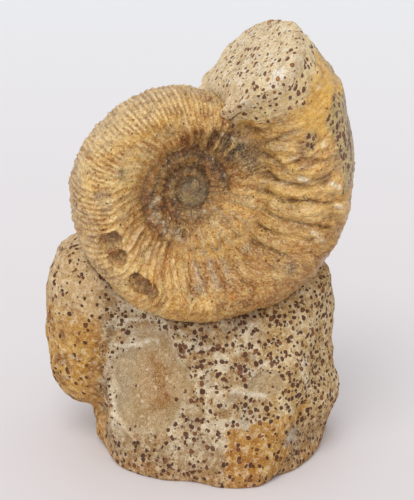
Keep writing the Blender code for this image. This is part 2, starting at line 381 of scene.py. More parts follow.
def shaped_piece(name: str, mesh: bmesh.types.BMesh, places: Array) -> Piece:
    """Moves a mesh's points to their places and makes it a piece.

    Args:
        name: Name of the piece.
        mesh: The mesh, which is used up.
        places: One place to each of its points.

    Returns:
        The new object.
    """
    for vert, place in zip(mesh.verts, places):
        vert.co = Vector(place)
    data = bpy.data.meshes.new(name)
    mesh.to_mesh(data)
    mesh.free()
    return link_piece(name, data)


def read_points(piece: Piece, name: str = "co") -> Array:
    """Reads three numbers at each of a piece's points.

    Args:
        piece: The object.
        name: What is read, co for the places or normal for the normals.

    Returns:
        The numbers, (n, 3).
    """
    flat = np.zeros(len(piece.data.vertices) * 3, np.float32)
    piece.data.vertices.foreach_get(name, flat)
    return flat.reshape(-1, 3).astype(float)


def store(piece: Piece, name: str, values: Array) -> None:
    """Keeps one number for each point of a piece, for its material to read.

    Args:
        piece: The object.
        name: Name of the values.
        values: One number to each point.
    """
    layer = piece.data.attributes.get(name) or piece.data.attributes.new(name, "FLOAT", "POINT")
    layer.data.foreach_set("value", np.clip(values, 0.0, 1.0).astype(np.float32))


def cut(piece: Piece, cutters: list[Piece], keep_cutters: bool = False) -> None:
    """Takes the cutters' shapes out of a piece, for good.

    Args:
        piece: The object that is cut.
        cutters: What is taken away.
        keep_cutters: Whether the cutters stay in the scene.
    """
    for cutter in cutters:
        step = piece.modifiers.new(cutter.name, "BOOLEAN")
        step.operation = "DIFFERENCE"
        step.solver = "MANIFOLD"
        step.object = cutter
    shapes = bpy.context.evaluated_depsgraph_get()
    whole = bpy.data.meshes.new_from_object(piece.evaluated_get(shapes))
    piece.modifiers.clear()
    old = piece.data
    piece.data = whole
    bpy.data.meshes.remove(old)
    piece.data.shade_smooth()
    if not keep_cutters:
        for cutter in cutters:
            bpy.data.objects.remove(cutter)


# Shader building


class Blend(Enum):
    """How a coat of colour goes on."""

    OVER = "MIX"
    STAIN = "MULTIPLY"


def srgb(red: float, green: float, blue: float) -> Shade:
    """A screen colour, 0 to 255 a channel, as the four numbers of a shader's colour socket."""
    return (*(float(part) for part in screen(red, green, blue)), 1.0)


@dataclass(frozen=True)
class Signal:
    """A node's output that can be used in a Python expression."""

    graph: "ShaderGraph"
    socket: bpy.types.NodeSocket

    def __add__(self, other: Any) -> "Signal":
        """This plus other."""
        return self.graph.math("ADD", self, other)

    def __radd__(self, other: Any) -> "Signal":
        """Other plus this."""
        return self.graph.math("ADD", other, self)

    def __sub__(self, other: Any) -> "Signal":
        """This minus other."""
        return self.graph.math("SUBTRACT", self, other)

    def __rsub__(self, other: Any) -> "Signal":
        """Other minus this."""
        return self.graph.math("SUBTRACT", other, self)

    def __mul__(self, other: Any) -> "Signal":
        """This times other."""
        return self.graph.math("MULTIPLY", self, other)

    def __rmul__(self, other: Any) -> "Signal":
        """Other times this."""
        return self.graph.math("MULTIPLY", other, self)

    def __truediv__(self, other: Any) -> "Signal":
        """This over other."""
        return self.graph.math("DIVIDE", self, other)

    def __lt__(self, other: Any) -> "Signal":
        """1 where this is less than other, and 0 elsewhere."""
        return self.graph.math("LESS_THAN", self, other)

    def rise(self, low: float, high: float) -> "Signal":
        """Rises smoothly from 0 at low to 1 at high, or falls where low is above high.

        Args:
            low: Value that gives 0.
            high: Value that gives 1.

        Returns:
            The risen signal.
        """
        inputs = {"Value": self, "From Min": low, "From Max": high, "To Min": 0.0, "To Max": 1.0}
        settings = {"interpolation_type": "SMOOTHSTEP"}
        return self.graph.out(self.graph.add("ShaderNodeMapRange", settings, inputs), "Result")

    def at_most(self, other: Any) -> "Signal":
        """The lesser of this and other."""
        return self.graph.math("MINIMUM", self, other)


class ShaderGraph:
    """One material and the nodes in it."""

    noise_roughness = 0.6

    def __init__(self, name: str) -> None:
        """Starts a material that has only its output.

        Args:
            name: Name of the material.
        """
        self.material = bpy.data.materials.new(name)
        self.material.use_nodes = True
        self.tree = self.material.node_tree
        self.tree.nodes.clear()
        self.end = self.add("ShaderNodeOutputMaterial")
        self.place = self.out(self.add("ShaderNodeTexCoord"), "Object")

    def add(self, kind: str, settings: dict[str, Any] | None = None,
            inputs: dict[str | int, Any] | None = None) -> bpy.types.Node:
        """Adds a node.

        Args:
            kind: The node's type.
            settings: Its settings, such as operation. They are set first.
            inputs: Values or signals for its sockets, by name, or by number where names repeat.

        Returns:
            The new node.
        """
        node = self.tree.nodes.new(kind)
        for name, value in (settings or {}).items():
            setattr(node, name, value)
        for name, value in (inputs or {}).items():
            named = name if isinstance(name, int) else next(
                i for i, s in enumerate(node.inputs) if s.name == name and s.enabled)
            if isinstance(value, Signal):
                self.tree.links.new(value.socket, node.inputs[named])
            else:
                node.inputs[named].default_value = value
        return node

    def out(self, node: bpy.types.Node, name: str) -> Signal:
        """The named output of a node."""
        return Signal(self, next(s for s in node.outputs if s.name == name and s.enabled))

    def math(self, operation: str, one: Any, two: Any) -> Signal:
        """One Math node.

        Args:
            operation: What it does.
            one: Its first value or signal.
            two: Its second.

        Returns:
            Its result.
        """
        return self.out(self.add("ShaderNodeMath", {"operation": operation}, {0: one, 1: two}), "Value")

    def vector(self, operation: str, *parts: Any) -> Signal:
        """One Vector Math node, with its values or signals in the order of its sockets."""
        node = self.add("ShaderNodeVectorMath", {"operation": operation}, dict(enumerate(parts)))
        return self.out(node, "Vector")

    def mix(self, share: Any, one: Any, two: Any, blend: str = "MIX") -> Signal:
        """A blend of two colours.

        Args:
            share: How much of the second, 0 to 1.
            one: The first colour.
            two: The second colour.
            blend: How they blend.

        Returns:
            The blended colour.
        """
        settings = {"data_type": "RGBA", "blend_type": blend, "clamp_factor": True}
        return self.out(self.add("ShaderNodeMix", settings, {"Factor": share, "A": one, "B": two}), "Result")

    def coats(self, colour: Signal, *layers: tuple[Any, Triple, Blend]) -> Signal:
        """Lays screen colours over a colour, one after another.

        Args:
            colour: What they are laid on.
            layers: For each, how much it covers, its colour, and how it blends.

        Returns:
            The finished colour.
        """
        for share, tint, blend in layers:
            colour = self.mix(share, colour, srgb(*tint), blend.value)
        return colour

    def value(self, name: str) -> Signal:
        """The number that a mesh holds for each point under this name."""
        return self.out(self.add("ShaderNodeAttribute", {"attribute_name": name}), "Fac")

    def tint(self) -> Signal:
        """The colour that a mesh holds for each point."""
        return self.out(self.add("ShaderNodeAttribute", {"attribute_name": "tint"}), "Color")

    def moved(self, place: Signal, scale: Triple, offset: Triple) -> Signal:
        """A place scaled and then shifted."""
        return self.vector("ADD", self.vector("MULTIPLY", place, scale), offset)

    def shaken(self, place: Signal, size: float, reach: float) -> Signal:
        """A place pushed about by noise.

        Args:
            place: The place.
            size: Width of the noise's lumps, in metres.
            reach: How far it pushes, in metres.

        Returns:
            The pushed place.
        """
        push = self.add("ShaderNodeTexNoise", {}, {"Vector": place, "Scale": 1.0 / size, "Detail": 1.0})
        return self.vector("MULTIPLY_ADD", self.out(push, "Color"), (2.0 * reach,) * 3, place)

    def noise(self, size: float, detail: float = 3.0, shift: float = 0.0,
              place: Signal | None = None) -> Signal:
        """Noise from 0 to 1 whose lumps are about size wide.

        Args:
            size: Width of the lumps, in metres.
            detail: How many finer layers are on it.
            shift: Moves the noise, so that two of a size differ.
            place: Where it is read, the object's own place if left out.

        Returns:
            The noise.
        """
        read = self.moved(place or self.place, (1.0,) * 3, (shift,) * 3)
        inputs = {"Vector": read, "Scale": 1.0 / size, "Detail": detail, "Roughness": self.noise_roughness}
        return Signal(self, self.add("ShaderNodeTexNoise", {}, inputs).outputs[0])

    def bump(self, height: Signal, depth: float) -> Signal:
        """A normal that is tilted by a height.

        Args:
            height: The height, 0 to 1.
            depth: What 1 stands for, in metres.

        Returns:
            The normal.
        """
        inputs = {"Strength": 1.0, "Distance": depth, "Height": height}
        return self.out(self.add("ShaderNodeBump", {}, inputs), "Normal")

    def finish(self, inputs: dict[str, Any]) -> bpy.types.Material:
        """Ends the material with one Principled shader.

        Args:
            inputs: Values or signals for its sockets.

        Returns:
            The material.
        """
        shader = self.add("ShaderNodeBsdfPrincipled", {}, inputs)
        self.tree.links.new(shader.outputs["BSDF"], self.end.inputs["Surface"])
        return self.material


@dataclass(frozen=True)
class Ooids:
    """The small round iron grains of the limestone, as a pattern in the stone.

    spacing is the width of the cell that holds one grain. A grain's radius is a
    share of it, least or up to spread more. share is the part of the cells that
    hold a grain. The pattern is shaken out of round by noise, as (lump, reach),
    turned in the plane of the front, and squeezed by stretch, so that the grains
    come out longer there. edge, rusting and rimming are where in a grain, or
    among the grains, a colour comes in.
    """

    spacing: float = 1.75 * MM
    least: float = 0.34
    spread: float = 0.2
    share: float = 1.0
    shift: float = 0.0
    stretch: Triple = (1.0, 1.0, 0.92)
    turn: float = 0.0
    shake: Pair = (1.9 * MM, 0.42 * MM)
    edge: Pair = (1.06, 0.9)
    rusting: Pair = (0.45, 1.0)
    rimming: Pair = (0.5, 0.95)
    dark: Triple = (82, 45, 30)
    rusty: Triple = (134, 78, 44)
    rim: Triple = (58, 32, 23)

    def draw(self, graph: ShaderGraph, crowd: Any) -> tuple[Signal, Signal]:
        """Makes the pattern.

        Args:
            graph: The material's nodes.
            crowd: How crowded the grains are, as a factor on share.

        Returns:
            Where the grains are, 0 to 1, and their colour.
        """
        place = graph.shaken(graph.place, *self.shake)
        turned = graph.add("ShaderNodeMapping", {}, {"Vector": place, "Rotation": (0.0, self.turn, 0.0)})
        place = graph.moved(graph.out(turned, "Vector"), self.stretch, (self.shift,) * 3)
        inputs = {"Vector": place, "Scale": 1.0 / self.spacing, "Randomness": 1.0}
        grains = graph.add("ShaderNodeTexVoronoi", {"voronoi_dimensions": "3D", "feature": "F1"}, inputs)
        own = graph.add("ShaderNodeSeparateColor", {}, {"Color": graph.out(grains, "Color")})
        red, green, blue = (graph.out(own, name) for name in ("Red", "Green", "Blue"))
        inside = graph.out(grains, "Distance") / (red * red * self.spread + self.least)
        mask = inside.rise(*self.edge) * (green < crowd * self.share)
        body = graph.mix(blue.rise(*self.rusting), srgb(*self.dark), srgb(*self.rusty))
        return mask, graph.mix(inside.rise(*self.rimming) * 0.6, body, srgb(*self.rim))


@dataclass(frozen=True)
class OoliteFinish:
    """Rough limestone in its mesh's own tints, with iron grains in it."""

    name: str
    coarse: Ooids = Ooids()
    fine: Ooids = Ooids(spacing=1.2 * MM, least=0.22, spread=0.18, share=0.55, shift=0.37)
    grit_size: float = 0.5 * MM
    patch_size: float = 2.1 * MM
    cluster_size: float = 5.5 * MM
    bump: float = 0.5 * MM
    specular: float = 0.35

    def make(self) -> bpy.types.Material:
        """Makes the material.

        Returns:
            The material, which reads the values tint, crowd and smooth.
        """
        graph = ShaderGraph(self.name)
        crowd, smooth = graph.value("crowd"), graph.value("smooth")
        cluster = graph.noise(self.cluster_size, 2.0, 0.41).rise(0.34, 0.66)
        many = crowd * (cluster * 0.9 + 0.45)
        grit = graph.noise(self.grit_size, 3.0, 0.23)
        patch = graph.noise(self.patch_size, 4.0, 0.11)
        bare = 1.0 - smooth * 0.75
        colour = graph.coats(
            graph.tint(),
            (patch.rise(0.44, 0.6) * bare * 0.5, (214, 192, 158), Blend.STAIN),
            (patch.rise(0.5, 0.38) * bare * 0.4, (232, 216, 182), Blend.OVER),
            (grit.rise(0.48, 0.66) * 0.6, (190, 162, 126), Blend.STAIN),
            (grit.rise(0.46, 0.32) * 0.25, (240, 230, 208), Blend.OVER),
        )
        fine, fine_colour = self.fine.draw(graph, many)
        coarse, coarse_colour = self.coarse.draw(graph, many)
        colour = graph.mix(fine * 0.85, colour, fine_colour)
        colour = graph.mix(coarse * 0.95, colour, coarse_colour)
        rough_ground = grit * 0.8 + graph.noise(1.6 * MM, 3.0, 0.61) * 0.9
        height = rough_ground * (1.0 - smooth * 0.55) + coarse * 0.3 + fine * 0.15
        return graph.finish({
            "Base Color": colour,
            "Roughness": graph.noise(1.2 * MM, 2.0, 0.7) * 0.25 + 0.66,
            "Normal": graph.bump(height, self.bump),
            "Specular IOR Level": self.specular,
        })


@dataclass(frozen=True)
class ShellFinish:
    """Ochre calcite in its mesh's own tints, glossy and sparkling in the umbilicus, with painted glints in
    its colour.

    flow is how far the streaks' noise runs over the whole spiral and across the
    whorl, in metres, so that the streaks lie along the ribs.
    """

    name: str
    grains: Ooids = Ooids(spacing=1.5 * MM, least=0.36, stretch=(1.0, 1.0, 0.62), dark=(92, 44, 26),
                          rusty=(128, 66, 38), rim=(62, 30, 20))
    holes: Ooids = Ooids(spacing=1.3 * MM, least=0.13, spread=0.16, share=0.55, shift=0.53, dark=(62, 44, 26),
                         rusty=(104, 70, 38), rim=(50, 36, 24))
    flow: Pair = (0.62, 0.034)
    cloud_size: float = 3.0 * MM
    patch_size: float = 1.5 * MM
    grit_size: float = 0.62 * MM
    streak_size: float = 0.6 * MM
    glint_size: float = 0.8 * MM
    crystal_size: float = 1.1 * MM
    wash: Triple = (249, 243, 220)
    bump: float = 0.64 * MM
    coat_roughness: float = 0.16

    def make(self) -> bpy.types.Material:
        """Makes the material.

        Returns:
            The material, which reads the mesh's tint and the values that AmmoniteShell stores.
        """
        graph = ShaderGraph(self.name)
        bare, gloss, specks, calm = (graph.value(name) for name in ("bare", "gloss", "specks", "calm"))
        cloud = graph.noise(self.cloud_size, 5.0, 0.27)
        patch = graph.noise(self.patch_size, 4.0, 0.67)
        grit = graph.noise(self.grit_size, 3.0, 0.71)
        along, across = self.flow
        spread = {"X": graph.value("rib_place") * along, "Y": graph.value("row_place") * across, "Z": 0.0}
        flow = graph.out(graph.add("ShaderNodeCombineXYZ", {}, spread), "Vector")
        streaks = (graph.noise(self.streak_size, 3.0, 0.91, flow) - 0.5) * graph.value("streaky") + 0.5
        lively = 1.0 - calm * 0.6
        colour = graph.coats(
            graph.tint(),
            (cloud.rise(0.5, 0.62) * 0.55, (198, 182, 150), Blend.STAIN),
            (cloud.rise(0.48, 0.38) * (0.35 - calm * 0.25), (242, 210, 144), Blend.OVER),
            (patch.rise(0.48, 0.66) * 0.45, (230, 180, 104), Blend.STAIN),
            (streaks.rise(0.51, 0.63) * lively * 0.36, (180, 146, 96), Blend.STAIN),
            (streaks.rise(0.47, 0.37) * lively * 0.32, (252, 234, 188), Blend.OVER),
            (grit.rise(0.5, 0.62) * lively * 0.52, (188, 154, 104), Blend.STAIN),
            (grit.rise(0.45, 0.35) * (0.34 - gloss * 0.2), (250, 232, 184), Blend.OVER),
        )
        pinholes, hole_colour = self.holes.draw(graph, specks)
        colour = graph.mix(pinholes * 0.9, colour, hole_colour)
        sparkle = graph.noise(4.0 * MM, 2.0, 0.83).rise(0.5, 0.62)
        # Painted highlights: pale specks laid into the base colour as glints, in clusters, most in the glossy
        # umbilicus.
        painted_glints = graph.noise(self.glint_size, 1.5, 0.45).rise(0.65, 0.7) * (gloss * 0.6 + 0.3) * sparkle
        colour = graph.coats(
            colour,
            (1.0, self.wash, Blend.STAIN),
            (painted_glints * 0.8, (248, 240, 224), Blend.OVER),
        )
        grains, grain_colour = self.grains.draw(graph, bare)
        colour = graph.mix(grains * 0.95, colour, grain_colour)
        inputs = {"Vector": graph.place, "Scale": 1.0 / self.crystal_size}
        crystals = graph.add("ShaderNodeTexVoronoi", {"feature": "F1"}, inputs)
        facets = graph.out(crystals, "Distance") * gloss * 0.8
        lumps = grit * 0.45 + streaks * 0.5 + graph.noise(1.6 * MM, 3.0, 0.35) * 1.2
        height = (lumps + facets) * (1.0 - calm * 0.6)
        sheen = graph.noise(1.0 * MM, 2.0, 0.57).rise(0.46, 0.62)
        return graph.finish({
            "Base Color": colour,
            "Roughness": graph.noise(0.8 * MM, 2.0, 0.77) * 0.3 + 0.34 - gloss * 0.12,
            "Coat Weight": (sheen * (gloss * 0.4 + 0.45)).at_most(0.85),
            "Coat Roughness": self.coat_roughness,
            "Normal": graph.bump(height - pinholes * 0.5, self.bump),
        })


# The fossil


@dataclass
class Spiral:
    """The plain form of the coiled shell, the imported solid's with a less even margin.

    Radii and widths are shares of the local radius. Angles are degrees along the
    spiral, counted from the right-hand side. t is 0 at the umbilical seam, 1 at
    the shoulder and 2 at the venter; s is t on the front and 4 - t on the back.
    """

    mouth_radius: float = 0.0584
    growth: float = 0.104
    ribs_per_turn: int = 60
    forks_per_rib: int = 2
    seam_share: float = 0.42
    shoulder_share: float = 0.755
    half_width_share: float = 0.5
    arch_power: float = 2.2
    wall_power: float = 1.8
    hub_rise: float = 0.005
    start: float = 65.0
    yaw: float = 14.0
    lean: float = 4.0
    rib_height: float = 0.024
    fork_height: float = 0.012
    dips: Table = ((65.0, 0.0), (90.0, -4.0), (400.0, -4.0), (425.0, 0.0))
    swings: Table = ((65.0, 0.0), (130.0, 5.0), (310.0, 6.0), (370.0, -1.0), (425.0, -11.0))
    swell: Table = (
        (65.0, 0.0), (95.0, -0.012), (126.0, -0.03), (139.0, -0.042), (152.0, -0.012), (175.0, -0.012),
        (190.0, -0.026), (210.0, -0.02), (245.0, 0.0), (290.0, 0.0), (318.0, 0.042), (333.0, 0.052),
        (350.0, 0.038), (366.0, 0.043), (386.0, 0.053), (390.0, 0.072), (394.0, 0.086), (399.0, 0.072),
        (403.0, 0.062), (417.0, 0.092),
    )
    axis: Vector = field(default_factory=lambda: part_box("ammonite")[0] + AXIS_FROM_CORNER)

    def __post_init__(self) -> None:
        """Works out where the next whorl's seam lies on a whorl."""
        turn = math.exp(self.growth * 2.0 * math.pi)
        out = (self.seam_share * turn - self.shoulder_share) / (1.0 - self.shoulder_share)
        up = math.asin(out ** (self.arch_power / 2.0))
        self.seam_t = 1.0 + up / (math.pi / 2.0)
        self.seam_width = self.half_width_share * math.cos(up) ** (2.0 / self.arch_power) / turn
        self.end = self.start + 360.0
        self.turned = np.array(Matrix.Rotation(math.radians(self.yaw), 3, "Z")
                               @ Matrix.Rotation(math.radians(-self.lean), 3, "X"))

    @staticmethod
    def fold(s: Array) -> Array:
        """t at these places across the whorl, the same on both flanks."""
        return np.minimum(s, 4.0 - s)

    def seam_angle(self, rib: Array) -> Array:
        """The angle at which these ribs leave the seam, in degrees."""
        return self.start + 360.0 / self.ribs_per_turn * rib

    def radius(self, angle: Array) -> Array:
        """Distance from the coiling axis to the venter at these angles."""
        swell = 1.0 + np.interp(angle, *zip(*self.swell))
        return swell * self.mouth_radius * np.exp(self.growth * np.radians(angle - self.end))

    def section(self, s: Array) -> tuple[Array, Array]:
        """The whorl's outline.

        Args:
            s: Places across the whorl, from a little under 0 to 4.

        Returns:
            Radius and width there, the width negative on the back.
        """
        t = self.fold(s)
        down = np.clip(1.0 - t, 0.0, 1.1)
        up = np.clip(t - 1.0, 0.0, 1.0) * (math.pi / 2.0)
        radius = self.shoulder_share - (self.shoulder_share - self.seam_share) * down
        radius = radius + (1.0 - self.shoulder_share) * np.sin(up) ** (2.0 / self.arch_power)
        width = self.half_width_share * np.maximum(np.cos(up), 0.0) ** (2.0 / self.arch_power)
        width = width - (self.half_width_share - self.seam_width) * down**self.wall_power
        return radius, np.where(s <= 2.0, width, -width)

    def outward(self, s: Array, step: float = 0.02) -> tuple[Array, Array]:
        """The outline's unit normal.

        Args:
            s: Places across the whorl.
            step: How far to either side of each place the outline is read.

        Returns:
            The normal's radius and width parts.
        """
        r1, w1 = self.section(s + step)
        r0, w0 = self.section(s - step)
        size = np.hypot(r1 - r0, w1 - w0)
        return -(w1 - w0) / size, (r1 - r0) / size

    def swung(self, angle: Array, t: Array) -> Array:
        """Where a rib that leaves the seam at this angle is at t."""
        dip = np.interp(angle, *zip(*self.dips)) * np.sin(np.pi * np.minimum(t, 1.0))
        return angle + dip + np.interp(angle, *zip(*self.swings)) * ramp(t, 0.0, 0.8)

    def point(self, rib: Array, s: Array, height: Array) -> Array:
        """Points of the shell, in its own frame, whose Y is the coiling axis.

        Args:
            rib: Places along the spiral, in ribs from its start.
            s: Places across the whorl.
            height: How far each point stands out of the plain form, in metres.

        Returns:
            The points, (..., 3).
        """
        t = self.fold(s)
        angle = self.swung(self.seam_angle(rib), t)
        scale = self.radius(angle)
        radius, width = self.section(s)
        out, wide = self.outward(s)
        reach = scale * radius + out * height
        half = scale * width + wide * height
        lifted = np.copysign(np.hypot(half, self.hub_rise), half)
        half = half + (lifted - half) * (1.0 - ramp(t, 1.1, 2.0))
        turn = np.radians(angle)
        return np.stack([reach * np.cos(turn), -half, reach * np.sin(turn)], axis=-1)

    def placed(self, points: Array) -> Array:
        """Points of the shell's own frame, where the shell stands."""
        return points @ self.turned.T + np.array(self.axis)


@dataclass(frozen=True)
class Wear:
    """How the shell's relief and colour change along the spiral, by angle in degrees."""

    wall_ribs: Table = (
        (-295.0, 0.6), (-230.0, 0.8), (-190.0, 1.1), (-90.0, 1.1), (-40.0, 0.8), (0.0, 0.6),
        (55.0, 0.5), (70.0, 0.9), (112.0, 0.85), (130.0, 0.5), (150.0, 0.26), (192.0, 0.36),
        (208.0, 0.6), (240.0, 0.65), (256.0, 0.4), (290.0, 0.26), (310.0, 0.26), (330.0, 0.42),
        (375.0, 0.46), (392.0, 0.35), (425.0, 0.3),
    )
    narrow: Table = (
        (65.0, 1.4), (120.0, 1.1), (200.0, 1.3), (245.0, 1.3), (270.0, 0.8), (425.0, 0.8),
    )
    forks: Table = (
        (65.0, 0.85), (85.0, 1.15), (180.0, 1.15), (205.0, 0.75), (245.0, 0.5), (265.0, 0.25),
        (300.0, 0.15), (322.0, 0.12), (385.0, 0.12), (398.0, 0.2), (425.0, 0.2),
    )
    wall_end: Table = (
        (65.0, 1.1), (200.0, 1.1), (262.0, 1.15), (300.0, 1.15), (330.0, 1.2), (382.0, 1.2),
        (396.0, 0.95), (425.0, 0.8),
    )
    pale: Table = (
        (65.0, 0.45), (90.0, 1.0), (170.0, 1.0), (195.0, 0.6), (212.0, 0.75), (250.0, 0.6),
        (270.0, 0.3), (425.0, 0.25),
    )
    folds: Table = ((270.0, 0.0), (300.0, 0.6), (325.0, 1.0), (400.0, 1.0), (425.0, 0.7))

    def at(self, name: str, angle: Array) -> Array:
        """The named table's value at these angles."""
        return np.interp(angle, *zip(*getattr(self, name)))


@dataclass(frozen=True)
class Mark:
    """A small feature drawn over the front flank, along polar places in degrees and millimetres."""

    path: Path
    width: float
    rise: float
    colour: Triple
    cover: float = 0.9

    def reach(self, x: Array, z: Array) -> Array:
        """How far each place is under the mark, 1 in its middle and 0 outside."""
        path = self.path if len(self.path) > 1 else (*self.path, (self.path[0][0] + 0.5, self.path[0][1]))
        return stroke(x, z, polar(*path), self.width * MM)


FOLDS = (
    ((37.2, 20.9), (29.7, 23.9), (24.3, 26.3), (18.6, 28.2), (18.1, 31.3), (20.2, 33)),
    ((17.6, 22.3), (8.8, 24.6), (5, 29.7), (6.9, 34.7), (9.7, 40.2)),
    ((358.7, 21.7), (353.7, 27.3), (357.1, 33.2), (356.1, 40.6)),
    ((344.3, 22.9), (342, 27.9), (343.2, 30.6), (345, 37.8), (344.5, 42.7)),
    ((330.4, 22.3), (332.4, 27.2), (335.3, 31.8), (338, 37.3)),
    ((318.4, 23), (321.4, 27.9), (324.1, 33.6)),
)

CRYSTALS = (
    (186.5, 11.3), (190.5, 12.3), (193.5, 14.2), (203, 14), (208.5, 13.2), (214, 14.9), (221, 13.4),
    (228.5, 15), (240, 14.2), (252, 15.4), (302, 8.6), (318, 9.4), (20.5, 11.8), (64, 20.9),
)

